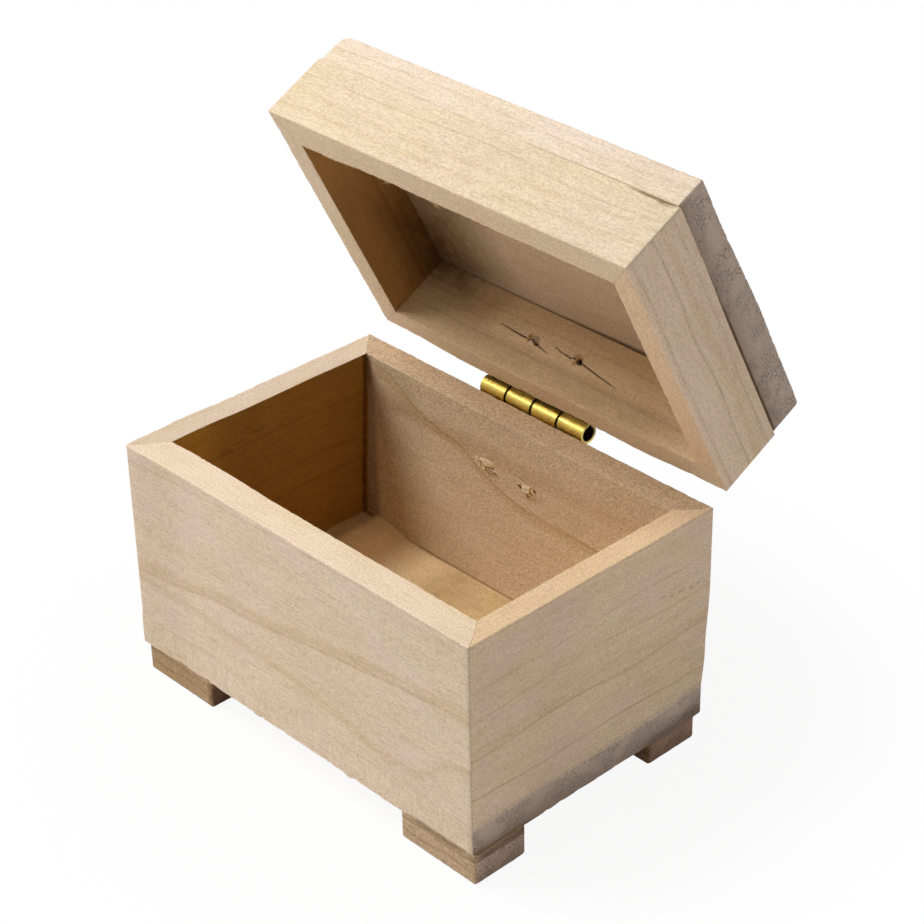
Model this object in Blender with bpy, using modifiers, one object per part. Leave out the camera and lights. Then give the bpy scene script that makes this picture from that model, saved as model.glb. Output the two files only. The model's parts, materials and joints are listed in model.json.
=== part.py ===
"""A small raw-wood chest with its hinged lid standing open.

The chest is a mitred frame of four boards glued on a full-size bottom board, with four block feet.
The lid is a lower mitred frame under a full-size top board. One rolled butt hinge joins the two,
held by round-head nails that slope down through the back boards and break out inside.

Metres, +Z up, +Y towards the hinge. The origin is on the floor, in the middle of what the open
chest covers.
"""

import math

import bmesh
import bpy
from mathutils import Matrix, Vector

# Chest
BOX_LENGTH = 0.0800
BOX_DEPTH = 0.0528
WALL_HEIGHT = 0.0333
WALL_THICKNESS = 0.0049
BOTTOM_THICKNESS = 0.0050
BOTTOM_SANDED_CORNER = 0.0026
CORNER_ROUND = 0.0004
WORN_EDGE = 0.00025
GLUE_LINE = 0.0001

# Feet
FOOT_LENGTH = 0.0169
FOOT_DEPTH = 0.0107
FOOT_HEIGHT = 0.0057
FRONT_LEFT_FOOT_INSET = 0.0005
FRONT_RIGHT_FOOT_PROUD = 0.0006
REAR_LEFT_FOOT_INSET = 0.0008
REAR_RIGHT_FOOT_INSET = 0.0009
REAR_FEET_SETBACK = 0.0019

# Lid
LID_SHORTER_THAN_BOX = 0.0018
LID_SHALLOWER_THAN_BOX = 0.0001
LID_SHIFT_TO_RIGHT = 0.0012
RAIL_HEIGHT = 0.0126
RAIL_THICKNESS = 0.0048
TOP_THICKNESS = 0.0057
TOP_LEFT_INSET = 0.0004
TOP_RIGHT_INSET = 0.0007
TOP_FRONT_INSET = 0.0004
TOP_ROUNDED_CORNER = 0.0010
OPEN_ANGLE = math.radians(63.4)

# Hinge
HINGE_LENGTH = 0.0235
HINGE_SHIFT_TO_LEFT = 0.00065
SHEET_THICKNESS = 0.0005
BARREL_RADIUS = 0.00175
CURL_SWEEP = math.radians(300)
KNUCKLES = 4
KNUCKLE_GAP = 0.00035
NOTCH_CLEARANCE = 0.00025
LEAF_REACH = 0.0125
LEAF_CORNER = 0.0008
LEAF_SEAT_GAP = 0.0001
AXIS_ABOVE_BOX_RIM = 0.0003
LID_RIM_ABOVE_AXIS = 0.0013
PIN_CLEARANCE = 0.00008
PIN_RECESS = 0.0020
PIN_END_CHAMFER = 0.00015

# Nails
BOX_NAIL_SPACING = 0.0104
LID_NAIL_SPACING = 0.0114
HOLE_TO_LEAF_EDGE = 0.0030
NAIL_SLOPE = math.radians(14)
NAIL_RADIUS = 0.00055
NAIL_HEAD_RADIUS = 0.00130
NAIL_HEAD_HEIGHT = 0.00070
NAIL_POINT_LENGTH = 0.00130
NAIL_TIP_PROUD = 0.00050
NAIL_TIP_RADIUS = 0.00008
NAIL_HEAD_GAP = 0.00004
WALL_HOLE_CLEARANCE = 0.00015
LEAF_HOLE_CLEARANCE = 0.00035
CUT_OVERRUN = 0.0010

# Facets and tolerances
SHARP_ANGLE = math.radians(35)
FLAT_ANGLE = math.radians(1)
PIN_EDGE_ANGLE = math.radians(60)
ROUND_PROFILE = 0.5
MERGE_SHARE = 0.01
NEAR_SHARE = 0.1
CORNER_STEPS = 4
CURL_STEPS = 24
ROUND_STEPS = 24
DOME_STEPS = 5
EDGE_STEPS = 2

# Heights and places that follow from the sizes
BOTTOM_Z = FOOT_HEIGHT + GLUE_LINE
WALL_Z = BOTTOM_Z + BOTTOM_THICKNESS + GLUE_LINE
AXIS_Z = WALL_Z + WALL_HEIGHT + AXIS_ABOVE_BOX_RIM
AXIS_BEHIND_BACK = LEAF_SEAT_GAP + BARREL_RADIUS
LID_LENGTH = BOX_LENGTH - LID_SHORTER_THAN_BOX
LID_DEPTH = BOX_DEPTH - LID_SHALLOWER_THAN_BOX
TOP_Z = LID_RIM_ABOVE_AXIS + RAIL_HEIGHT + GLUE_LINE
LID_BACK_REACH = (
    (TOP_Z + TOP_THICKNESS) * math.sin(OPEN_ANGLE)
    - (AXIS_BEHIND_BACK + WORN_EDGE) * math.cos(OPEN_ANGLE)
)
BOX_LEFT = -(BOX_LENGTH + FRONT_RIGHT_FOOT_PROUD) / 2
BOX_FRONT = -(BOX_DEPTH + AXIS_BEHIND_BACK + LID_BACK_REACH) / 2
BOX_RIGHT = BOX_LEFT + BOX_LENGTH
BOX_BACK = BOX_FRONT + BOX_DEPTH
BOX_MIDDLE_X = BOX_LEFT + BOX_LENGTH / 2
AXIS_Y = BOX_BACK + AXIS_BEHIND_BACK
KNUCKLE_PITCH = (HINGE_LENGTH + KNUCKLE_GAP) / KNUCKLES
PIN_RADIUS = BARREL_RADIUS - SHEET_THICKNESS - PIN_CLEARANCE


def clear_scene():
    for obj in list(bpy.data.objects):
        bpy.data.objects.remove(obj, do_unlink=True)


def new_collection(name):
    collection = bpy.data.collections.new(name)
    bpy.context.scene.collection.children.link(collection)
    return collection


def finish_material(name, colour, roughness, metallic):
    material = bpy.data.materials.new(name)
    material.use_nodes = True
    shader = material.node_tree.nodes["Principled BSDF"]
    shader.inputs["Base Color"].default_value = (*colour, 1.0)
    shader.inputs["Roughness"].default_value = roughness
    shader.inputs["Metallic"].default_value = metallic
    return material


def planed_wood(name):
    return finish_material(name + "_planed_wood", (0.62, 0.44, 0.28), 0.75, 0.0)


def sawn_wood(name):
    return finish_material(name + "_sawn_wood", (0.40, 0.27, 0.17), 0.9, 0.0)


def rolled_brass(name):
    return finish_material(name + "_rolled_brass", (0.72, 0.50, 0.14), 0.3, 1.0)


def nail_metal(name):
    return finish_material(name + "_plated_metal", (0.62, 0.44, 0.18), 0.35, 1.0)


def add_object(name, mesh, collection, material, parent=None):
    obj = bpy.data.objects.new(name, mesh)
    obj.data.materials.append(material)
    collection.objects.link(obj)
    obj.parent = parent
    return obj


def smooth(mesh):
    mesh.shade_smooth()
    mesh.set_sharp_from_angle(angle=SHARP_ANGLE)


def even_shading(obj):
    """Lets the large faces set the normals, so flat metal looks flat beside its curls and rims."""
    obj.modifiers.new("even_shading", "WEIGHTED_NORMAL")


def extruded_outline(name, outline, height):
    """A mesh of the flat outline, pulled up from z = 0 to the height."""
    curve = bpy.data.curves.new(name, "CURVE")
    curve.dimensions = "2D"
    curve.fill_mode = "BOTH"
    curve.extrude = height / 2
    spline = curve.splines.new("POLY")
    spline.points.add(len(outline) - 1)
    spline.use_cyclic_u = True
    for point, (x, y) in zip(spline.points, outline):
        point.co = (x, y, 0, 1)
    guide = bpy.data.objects.new(name + "_outline", curve)
    bpy.context.scene.collection.objects.link(guide)
    graph = bpy.context.evaluated_depsgraph_get()
    mesh = bpy.data.meshes.new_from_object(guide.evaluated_get(graph))
    bpy.data.objects.remove(guide)
    bpy.data.curves.remove(curve)
    mesh.name = name
    shape = bmesh.new()
    shape.from_mesh(mesh)
    bmesh.ops.remove_doubles(shape, verts=shape.verts, dist=WORN_EDGE * MERGE_SHARE)
    bmesh.ops.translate(shape, verts=shape.verts, vec=(0, 0, height / 2))
    bmesh.ops.dissolve_limit(
        shape, angle_limit=FLAT_ANGLE, verts=shape.verts, edges=shape.edges
    )
    bmesh.ops.recalc_face_normals(shape, faces=shape.faces)
    shape.to_mesh(mesh)
    shape.free()
    return mesh


def quarter_arc(centre_x, centre_y, radius, start):
    """Points of a quarter turn, anticlockwise from the start angle in quarters."""
    points = []
    for step in range(CORNER_STEPS + 1):
        angle = (start + step / CORNER_STEPS) * math.pi / 2
        points.append((centre_x + radius * math.cos(angle), centre_y + radius * math.sin(angle)))
    return points


def rounded_rectangle(length, depth, front_left, front_right, rear_right, rear_left):
    """Outline with its front left corner at the origin and a radius for each corner."""
    outline = quarter_arc(front_left, front_left, front_left, 2)
    outline += quarter_arc(length - front_right, front_right, front_right, 3)
    outline += quarter_arc(length - rear_right, depth - rear_right, rear_right, 0)
    outline += quarter_arc(rear_left, depth - rear_left, rear_left, 1)
    return outline


def mitred_outline(length, thickness):
    """Plan of a board mitred at both ends: outer face on y = 0, half of each corner's rounding."""
    half_gap = GLUE_LINE / math.sqrt(2)
    right = []
    for step in range(CORNER_STEPS + 1):
        angle = step / CORNER_STEPS * math.pi / 4
        right.append((
            length / 2 - CORNER_ROUND + CORNER_ROUND * math.sin(angle),
            CORNER_ROUND - CORNER_ROUND * math.cos(angle),
        ))
    mitre_x, mitre_y = right[-1]
    right[-1] = (mitre_x - half_gap, mitre_y)
    right.append((length / 2 - thickness - half_gap, thickness))
    left = [(-x, y) for x, y in reversed(right)]
    return right + left


def wear_edges(obj, level, along_mitre=None):
    """Bevels the edges at one height, apart from those that lie on a mitre."""
    mesh = obj.data
    weights = mesh.attributes.new("bevel_weight_edge", "FLOAT", "EDGE")
    for edge in mesh.edges:
        ends = [mesh.vertices[index].co for index in edge.vertices]
        at_level = all(abs(end.z - level) < WORN_EDGE * NEAR_SHARE for end in ends)
        if at_level and not (along_mitre and along_mitre(*ends)):
            weights.data[edge.index].value = 1.0
    bevel = obj.modifiers.new("worn_edge", "BEVEL")
    bevel.limit_method = "WEIGHT"
    bevel.width = WORN_EDGE
    bevel.segments = EDGE_STEPS


def spans_the_mitre(thickness):
    def test(first, second):
        return abs(first.y - second.y) > thickness / 2
    return test


def mitred_frame(names, length, depth, thickness, height, rim_level, place, collection, parent=None):
    """Front, right, back and left boards of a frame whose front left corner is at the place."""
    turns = (
        (length, Vector((length / 2, 0, 0))),
        (depth, Vector((length, depth / 2, 0))),
        (length, Vector((length / 2, depth, 0))),
        (depth, Vector((0, depth / 2, 0))),
    )
    boards = []
    for quarter, (name, (run, offset)) in enumerate(zip(names, turns)):
        mesh = extruded_outline(name, mitred_outline(run, thickness), height)
        board = add_object(name, mesh, collection, planed_wood(name), parent)
        board.location = place + offset
        board.rotation_euler.z = quarter * math.pi / 2
        wear_edges(board, rim_level, spans_the_mitre(thickness))
        smooth(mesh)
        boards.append(board)
    return boards


def make_bottom_board(collection, cutters):
    outline = rounded_rectangle(
        BOX_LENGTH, BOX_DEPTH, CORNER_ROUND, CORNER_ROUND, BOTTOM_SANDED_CORNER, CORNER_ROUND
    )
    mesh = extruded_outline("bottom_board", outline, BOTTOM_THICKNESS)
    board = add_object("bottom_board", mesh, collection, sawn_wood("bottom_board"))
    board.location = (BOX_LEFT, BOX_FRONT, BOTTOM_Z)
    wear_edges(board, 0)
    smooth(mesh)
    raise_floor(board, cutters)


def raise_floor(board, cutters):
    """The floor between the walls stands proud of their seat by the glue line."""
    edge = WALL_THICKNESS + GLUE_LINE
    outline = rounded_rectangle(
        BOX_LENGTH - 2 * edge, BOX_DEPTH - 2 * edge, WORN_EDGE, WORN_EDGE, WORN_EDGE, WORN_EDGE
    )
    below = BOTTOM_THICKNESS / 2
    mesh = extruded_outline("raised_floor", outline, BOTTOM_THICKNESS - below + GLUE_LINE)
    floor = add_guide("raised_floor", mesh, cutters)
    floor.location = board.location + Vector((edge, edge, below))
    combine(board, floor, "UNION")


def make_feet(collection):
    front_y = BOX_FRONT
    rear_y = BOX_BACK - REAR_FEET_SETBACK - FOOT_DEPTH
    places = {
        "front_left_foot": (BOX_LEFT + FRONT_LEFT_FOOT_INSET, front_y),
        "front_right_foot": (BOX_RIGHT + FRONT_RIGHT_FOOT_PROUD - FOOT_LENGTH, front_y),
        "rear_left_foot": (BOX_LEFT + REAR_LEFT_FOOT_INSET, rear_y),
        "rear_right_foot": (BOX_RIGHT - REAR_RIGHT_FOOT_INSET - FOOT_LENGTH, rear_y),
    }
    outline = rounded_rectangle(
        FOOT_LENGTH, FOOT_DEPTH, CORNER_ROUND, CORNER_ROUND, CORNER_ROUND, CORNER_ROUND
    )
    for name, (x, y) in places.items():
        mesh = extruded_outline(name, outline, FOOT_HEIGHT)
        foot = add_object(name, mesh, collection, sawn_wood(name))
        foot.location = (x, y, 0)
        wear_edges(foot, 0)
        smooth(mesh)


def make_pivot(name, angle, collection):
    """Empty on the hinge axis, tipped back by the angle. Its pieces are placed as on a shut chest."""
    pivot = bpy.data.objects.new(name, None)
    pivot.location = (BOX_MIDDLE_X, AXIS_Y, AXIS_Z)
    pivot.rotation_euler.x = -angle
    collection.objects.link(pivot)
    return pivot


def make_top_board(collection, pivot):
    length = LID_LENGTH - TOP_LEFT_INSET - TOP_RIGHT_INSET
    depth = LID_DEPTH - TOP_FRONT_INSET
    outline = rounded_rectangle(
        length, depth, TOP_ROUNDED_CORNER, CORNER_ROUND, CORNER_ROUND, CORNER_ROUND
    )
    mesh = extruded_outline("lid_top_board", outline, TOP_THICKNESS)
    board = add_object("lid_top_board", mesh, collection, planed_wood("lid_top_board"), pivot)
    board.location = (
        LID_SHIFT_TO_RIGHT - LID_LENGTH / 2 + TOP_LEFT_INSET,
        -AXIS_BEHIND_BACK - depth,
        TOP_Z,
    )
    wear_edges(board, TOP_THICKNESS)
    smooth(mesh)


def leaf_profile(side):
    """Outer skin of a leaf in (y, z) about the axis: up the back face, then round the barrel."""
    flat = [
        (-BARREL_RADIUS, -side * LEAF_REACH),
        (-BARREL_RADIUS, -side * (BARREL_RADIUS + NOTCH_CLEARANCE)),
    ]
    curl = []
    for step in range(CURL_STEPS + 1):
        angle = step / CURL_STEPS * CURL_SWEEP
        curl.append((
            -BARREL_RADIUS * math.cos(angle),
            side * BARREL_RADIUS * math.sin(angle),
        ))
    return flat, curl


def leaf_skin(name, side, first_knuckle):
    """Open sheet of a leaf: plate strips between its knuckles, and curled strips at them."""
    flat, curl = leaf_profile(side)
    knuckle_length = KNUCKLE_PITCH - KNUCKLE_GAP
    borders = [0]
    curled = []
    for index in range(first_knuckle, KNUCKLES, 2):
        start = index * KNUCKLE_PITCH
        if start > borders[-1]:
            borders.append(start)
            curled.append(False)
        borders.append(start + knuckle_length)
        curled.append(True)
    if borders[-1] < HINGE_LENGTH - KNUCKLE_GAP:
        borders.append(HINGE_LENGTH)
        curled.append(False)
    shape = bmesh.new()
    for start, end, has_curl in zip(borders, borders[1:], curled):
        points = flat + curl if has_curl else flat
        verts = [shape.verts.new((start, y, z)) for y, z in points]
        edges = [shape.edges.new(pair) for pair in zip(verts, verts[1:])]
        made = bmesh.ops.extrude_edge_only(shape, edges=edges)
        moved = [part for part in made["geom"] if isinstance(part, bmesh.types.BMVert)]
        bmesh.ops.translate(shape, verts=moved, vec=(end - start, 0, 0))
    bmesh.ops.remove_doubles(shape, verts=shape.verts, dist=SHEET_THICKNESS * MERGE_SHARE)
    near = SHEET_THICKNESS * NEAR_SHARE
    corners = [
        vert for vert in shape.verts
        if LEAF_REACH - abs(vert.co.z) < near and not near < vert.co.x < HINGE_LENGTH - near
    ]
    bmesh.ops.bevel(
        shape,
        geom=corners,
        offset=LEAF_CORNER,
        segments=CORNER_STEPS,
        profile=ROUND_PROFILE,
        affect="VERTICES",
    )
    bmesh.ops.recalc_face_normals(shape, faces=shape.faces)
    shape.normal_update()
    plate = max(shape.faces, key=lambda face: abs(face.calc_center_median().z))
    if plate.normal.y > 0:
        bmesh.ops.reverse_faces(shape, faces=shape.faces)
    mesh = bpy.data.meshes.new(name)
    shape.to_mesh(mesh)
    shape.free()
    smooth(mesh)
    return mesh


def make_leaf(name, side, first_knuckle, collection, pivot):
    """A rolled leaf: side is 1 on the chest, where it hangs down, and -1 on the lid."""
    mesh = leaf_skin(name, side, first_knuckle)
    leaf = add_object(name, mesh, collection, rolled_brass(name), pivot)
    leaf.location.x = -HINGE_SHIFT_TO_LEFT - HINGE_LENGTH / 2
    sheet = leaf.modifiers.new("sheet", "SOLIDIFY")
    sheet.thickness = SHEET_THICKNESS
    sheet.offset = -1
    sheet.use_even_offset = True
    return leaf


def make_pin(collection, pivot):
    shape = bmesh.new()
    bmesh.ops.create_cone(
        shape,
        cap_ends=True,
        segments=ROUND_STEPS,
        radius1=PIN_RADIUS,
        radius2=PIN_RADIUS,
        depth=HINGE_LENGTH - 2 * PIN_RECESS,
        matrix=Matrix.Rotation(math.pi / 2, 4, "Y"),
    )
    mesh = bpy.data.meshes.new("hinge_pin")
    shape.to_mesh(mesh)
    shape.free()
    smooth(mesh)
    pin = add_object("hinge_pin", mesh, collection, nail_metal("hinge_pin"), pivot)
    pin.location.x = -HINGE_SHIFT_TO_LEFT
    chamfer = pin.modifiers.new("end_chamfer", "BEVEL")
    chamfer.width = PIN_END_CHAMFER
    chamfer.segments = 1
    chamfer.angle_limit = PIN_EDGE_ANGLE


def head_lift():
    """How far the middle of a sloping head stands off the leaf while its lower edge touches."""
    return NAIL_HEAD_RADIUS * math.tan(NAIL_SLOPE) + NAIL_HEAD_GAP


def nail_length(wall):
    """Shank below the head: through the leaf and the sloping hole, and out by the tip."""
    across = head_lift() + SHEET_THICKNESS + LEAF_SEAT_GAP + wall + NAIL_TIP_PROUD
    return across / math.cos(NAIL_SLOPE)


def nail_profile(length):
    """Half section of a round-head nail from the top of the head to the point, at +X."""
    profile = []
    for step in range(DOME_STEPS + 1):
        angle = step / DOME_STEPS * math.pi / 2
        profile.append((NAIL_HEAD_RADIUS * math.sin(angle), NAIL_HEAD_HEIGHT * math.cos(angle)))
    profile += [
        (NAIL_RADIUS, 0),
        (NAIL_RADIUS, NAIL_POINT_LENGTH - length),
        (NAIL_TIP_RADIUS, -length),
        (0, -length),
    ]
    return profile


def turned(name, profile):
    mesh = bpy.data.meshes.new(name)
    shape = bmesh.new()
    verts = [shape.verts.new((x, 0, z)) for x, z in profile]
    for pair in zip(verts, verts[1:]):
        shape.edges.new(pair)
    shape.to_mesh(mesh)
    shape.free()
    return mesh


def make_nail(name, x, side, wall, collection, pivot):
    """A nail whose head sits on the leaf and whose shank slopes down towards the inside."""
    mesh = turned(name, nail_profile(nail_length(wall)))
    nail = add_object(name, mesh, collection, nail_metal(name), pivot)
    screw = nail.modifiers.new("turning", "SCREW")
    screw.steps = ROUND_STEPS
    screw.render_steps = ROUND_STEPS
    screw.use_merge_vertices = True
    screw.merge_threshold = NAIL_TIP_RADIUS * MERGE_SHARE
    even_shading(nail)
    outside = SHEET_THICKNESS - BARREL_RADIUS + head_lift()
    nail.location = (x - HINGE_SHIFT_TO_LEFT, outside, side * (HOLE_TO_LEAF_EDGE - LEAF_REACH))
    nail.rotation_euler.x = NAIL_SLOPE - math.pi / 2
    return nail


def add_guide(name, mesh, collection, parent=None):
    """An object that only shapes others, hidden in renders."""
    guide = bpy.data.objects.new(name, mesh)
    guide.hide_render = True
    guide.display_type = "WIRE"
    guide.parent = parent
    collection.objects.link(guide)
    return guide


def add_cutter(name, radius, depth, collection, pivot):
    """A cylinder about its own Z, centred on its origin."""
    shape = bmesh.new()
    bmesh.ops.create_cone(
        shape, cap_ends=True, segments=ROUND_STEPS, radius1=radius, radius2=radius, depth=depth
    )
    mesh = bpy.data.meshes.new(name)
    shape.to_mesh(mesh)
    shape.free()
    return add_guide(name, mesh, collection, pivot)


def combine(obj, guide, operation):
    boolean = obj.modifiers.new(guide.name, "BOOLEAN")
    boolean.operation = operation
    boolean.object = guide
    boolean.solver = "EXACT"


def bore_board(nail, wall, board, cutters):
    """A sloping hole through the board, round the nail's shank."""
    length = nail_length(wall)
    depth = length + 2 * CUT_OVERRUN
    radius = NAIL_RADIUS + WALL_HOLE_CLEARANCE
    bore = add_cutter(nail.name + "_board_hole", radius, depth, cutters, nail.parent)
    bore.location = nail.location - nail_direction() * (length / 2)
    bore.rotation_euler.x = nail.rotation_euler.x
    combine(board, bore, "DIFFERENCE")


def punch_leaf(nail, leaf, cutters):
    """A hole square through the leaf, large enough for the sloping shank."""
    depth = SHEET_THICKNESS + 2 * CUT_OVERRUN
    radius = NAIL_RADIUS + LEAF_HOLE_CLEARANCE
    punch = add_cutter(nail.name + "_leaf_hole", radius, depth, cutters, nail.parent)
    below_head = head_lift() + SHEET_THICKNESS / 2
    punch.location = nail.location - nail_direction() * (below_head / math.cos(NAIL_SLOPE))
    punch.rotation_euler.x = math.pi / 2
    combine(leaf, punch, "DIFFERENCE")


def nail_direction():
    """From a nail's point to its head, on a shut chest."""
    return Vector((0, math.cos(NAIL_SLOPE), math.sin(NAIL_SLOPE)))


def nail_down(label, side, spacing, wall, board, leaf, collection, cutters):
    """The two nails that hold a leaf on its board."""
    for hand, x in (("left", -spacing / 2), ("right", spacing / 2)):
        nail = make_nail(f"{label}_nail_{hand}", x, side, wall, collection, leaf.parent)
        bore_board(nail, wall, board, cutters)
        punch_leaf(nail, leaf, cutters)
    even_shading(leaf)


def make_box(collection, cutters):
    names = ("front_wall", "right_wall", "back_wall", "left_wall")
    place = Vector((BOX_LEFT, BOX_FRONT, WALL_Z))
    walls = mitred_frame(
        names, BOX_LENGTH, BOX_DEPTH, WALL_THICKNESS, WALL_HEIGHT, WALL_HEIGHT, place, collection
    )
    make_bottom_board(collection, cutters)
    make_feet(collection)
    pivot = make_pivot("hinge_axis", 0, collection)
    leaf = make_leaf("box_hinge_leaf", 1, 0, collection, pivot)
    make_pin(collection, pivot)
    nail_down("box", 1, BOX_NAIL_SPACING, WALL_THICKNESS, walls[2], leaf, collection, cutters)


def make_lid(collection, cutters):
    pivot = make_pivot("lid_pivot", OPEN_ANGLE, collection)
    names = ("lid_front_rail", "lid_right_rail", "lid_back_rail", "lid_left_rail")
    place = Vector((
        LID_SHIFT_TO_RIGHT - LID_LENGTH / 2,
        -AXIS_BEHIND_BACK - LID_DEPTH,
        LID_RIM_ABOVE_AXIS,
    ))
    rails = mitred_frame(
        names, LID_LENGTH, LID_DEPTH, RAIL_THICKNESS, RAIL_HEIGHT, 0, place, collection, pivot
    )
    make_top_board(collection, pivot)
    leaf = make_leaf("lid_hinge_leaf", -1, 1, collection, pivot)
    nail_down("lid", -1, LID_NAIL_SPACING, RAIL_THICKNESS, rails[2], leaf, collection, cutters)


def main():
    clear_scene()
    collection = new_collection("wooden_chest")
    cutters = new_collection("cutters")
    make_box(collection, cutters)
    make_lid(collection, cutters)


main()
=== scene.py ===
"""Finish of a small raw-wood chest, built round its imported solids.

Every wooden board is rebuilt as a worn board with its own grain, the nails leave split wood where
they break out inside, and the rolled hinge gets its tarnished brass. Tables of places are in
millimetres, in a board's own axes: X along its length, Y inwards from its outer face, Z up its width.
"""

import json
import math
from collections import namedtuple
from itertools import product

import bmesh
import bpy
import numpy as np
from bpy.props import FloatProperty, FloatVectorProperty, PointerProperty
from mathutils import Matrix, Vector


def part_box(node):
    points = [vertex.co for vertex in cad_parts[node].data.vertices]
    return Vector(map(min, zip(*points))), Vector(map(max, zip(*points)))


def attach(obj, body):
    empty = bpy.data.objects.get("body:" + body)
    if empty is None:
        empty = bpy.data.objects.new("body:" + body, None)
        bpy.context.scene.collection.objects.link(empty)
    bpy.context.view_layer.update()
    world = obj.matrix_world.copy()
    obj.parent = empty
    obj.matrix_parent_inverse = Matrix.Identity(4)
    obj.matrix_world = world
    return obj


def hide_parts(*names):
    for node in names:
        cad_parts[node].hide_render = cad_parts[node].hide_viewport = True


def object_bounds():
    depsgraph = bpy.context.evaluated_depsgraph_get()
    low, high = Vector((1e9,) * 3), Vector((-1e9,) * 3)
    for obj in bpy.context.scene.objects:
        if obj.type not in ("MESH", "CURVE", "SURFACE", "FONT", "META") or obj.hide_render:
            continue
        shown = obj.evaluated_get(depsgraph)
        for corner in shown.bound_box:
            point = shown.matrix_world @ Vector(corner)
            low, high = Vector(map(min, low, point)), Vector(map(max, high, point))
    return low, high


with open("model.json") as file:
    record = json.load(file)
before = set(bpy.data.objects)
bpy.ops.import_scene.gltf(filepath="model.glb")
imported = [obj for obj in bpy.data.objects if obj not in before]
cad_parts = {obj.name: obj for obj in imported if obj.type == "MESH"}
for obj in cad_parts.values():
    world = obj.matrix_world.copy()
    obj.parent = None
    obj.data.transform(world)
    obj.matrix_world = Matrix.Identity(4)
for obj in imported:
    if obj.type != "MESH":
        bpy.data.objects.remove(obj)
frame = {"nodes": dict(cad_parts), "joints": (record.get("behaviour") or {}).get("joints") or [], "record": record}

bl_info = {
    "name": "Raw-wood chest",
    "version": (1, 0, 0),
    "blender": (4, 5, 0),
    "location": "3D View > Sidebar > Chest",
    "description": "Dresses the packed chest with worn boards, grain, split wood and tarnished brass",
    "category": "Object",
}

CAD_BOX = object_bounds()
MM = 0.001
HINGE_PLACE = Vector(frame["joints"][0]["pos_m"])
LID_OPENING = math.radians(63.4)
# The hinge's knuckles and the gap between two of them, in millimetres along X
KNUCKLES = 4
KNUCKLE_GAP = 0.35
HINGE_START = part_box("box_hinge_leaf")[0].x / MM - KNUCKLE_GAP / 2
HINGE_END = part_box("box_hinge_leaf")[1].x / MM + KNUCKLE_GAP / 2
KNUCKLE_PITCH = (HINGE_END - HINGE_START) / KNUCKLES
LID_PIVOT = Matrix.Translation(HINGE_PLACE) @ Matrix.Rotation(-LID_OPENING, 4, "X")
BOX_PIVOT = Matrix.Identity(4)

# Places of the cross lines next to an edge, from the edge inwards
EDGE_ROWS = (0.0, 0.05, 0.11, 0.18, 0.27, 0.4, 0.6, 0.85)
LEAST_ROW_GAP = 0.03
# Edge wear: how long its waves and nicks are, and the rounding of an edge that can be nicked
WOBBLE_LENGTH = 2.3
NICK_LENGTHS = (0.55, 0.8, 0.8)
NICK_RARITY = 0.3
NICKED_RADIUS = 0.1
LEAST_RADIUS = 0.004
# How fast the noise of the slow waves, torn ends, dents, and the grime with painted shade changes along X, Y and Z
RELIEF_RATE = (0.08, 0.5, 0.5)
TORN_RATE = (1.0, 1.6, 2.4)
DENT_RATE = (0.9, 2.5, 4.0)
GRIME_AND_SHADE_RATE = (0.9, 0.9, 1.3)
SLIVER_RINGS = 6
SLIVER_SIDES = 5
# Painted corner shade: each step's share of the whole run, and how dark it is
CORNER_FADE = ((0.4, 1.0), (0.5, 0.95), (0.6, 0.88), (0.7, 0.78), (0.8, 0.65), (0.9, 0.5), (1.0, 0.34))
# A board's low and high faces along X, Y and Z
FACE_NAMES = ("x0", "x1", "y0", "y1", "z0", "z1")

Lean = namedtuple("Lean", "at reach push")
# A patch of grime and painted shade: its middle, its reach and how dark it gets
Grime = namedtuple("Grime", "at reach depth")
Dent = namedtuple("Dent", "at reach push dark")
Crack = namedtuple("Crack", "width depth points")
Splinter = namedtuple("Splinter", "base tip width lift dark", defaults=(0.0,))
Line = namedtuple("Line", "width strength points tone", defaults=("late",))
Look = namedtuple(
    "Look", "seed outer_tint inner_tint rim_tint lines end_tint stand_up speckle border",
    defaults=(None, 0.0, 1.0, 0.0),
)
Body = namedtuple("Body", "name pivot leans grimes")
Board = namedtuple("Board", "nodes size placement body leans")
Marks = namedtuple("Marks", "spans dents cracks splinters", defaults=(((), (), ()), (), (), ()))
Shape = namedtuple("Shape", "pitch radii corners marks mitred rough", defaults=({}, Marks(), False, 0.0))


# Repeatable soft noise

def lattice(cell, seed):
    """A repeatable number from 0 to 1 for each whole-number place."""
    mixed = np.sin(cell @ np.array((12.9898, 78.233, 37.719)) + seed * 4.581) * 43758.5453
    return mixed - np.floor(mixed)


def soft_noise(points, seed):
    """Soft noise from -1 to 1, with swells about one unit wide."""
    cell = np.floor(points)
    share = points - cell
    share = share * share * (3 - 2 * share)
    total = np.zeros(len(points))
    for corner in product((0, 1), repeat=3):
        corner = np.array(corner)
        weight = np.prod(np.where(corner == 1, share, 1 - share), axis=1)
        total += weight * lattice(cell + corner, seed)
    return 2 * total - 1


def rough_noise(points, seed):
    """Three layers of soft noise, each finer and weaker than the last."""
    total = np.zeros(len(points))
    for layer in range(3):
        total += soft_noise(points * 2 ** layer, seed + layer) / 2 ** layer
    return total / 1.75


# Board shapes

def reach_of(nodes, pivot):
    """Lowest and highest corner of the nodes in the pivot's axes, in millimetres."""
    turned_back = pivot.inverted()
    places = np.array([
        turned_back @ vert.co for node in nodes for vert in frame["nodes"][node].data.vertices
    ])
    return places.min(axis=0) / MM, places.max(axis=0) / MM


def ruled_rows(length, pitch, spans):
    """Places of the cross lines along one side: close at the ends and in the spans."""
    near = [row for row in EDGE_ROWS if row < length / 2]
    places = near + [length - row for row in near]
    middle = length - 2 * near[-1]
    steps = max(2, round(middle / pitch))
    places += [near[-1] + middle * step / steps for step in range(1, steps)]
    for start, end, fine in spans:
        count = max(1, round((end - start) / fine))
        places += [start + (end - start) * step / count for step in range(count + 1)]
    kept = [0.0]
    for place in sorted(places):
        if place - kept[-1] >= LEAST_ROW_GAP and length - place >= LEAST_ROW_GAP:
            kept.append(place)
    return np.array(kept + [length])


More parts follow.
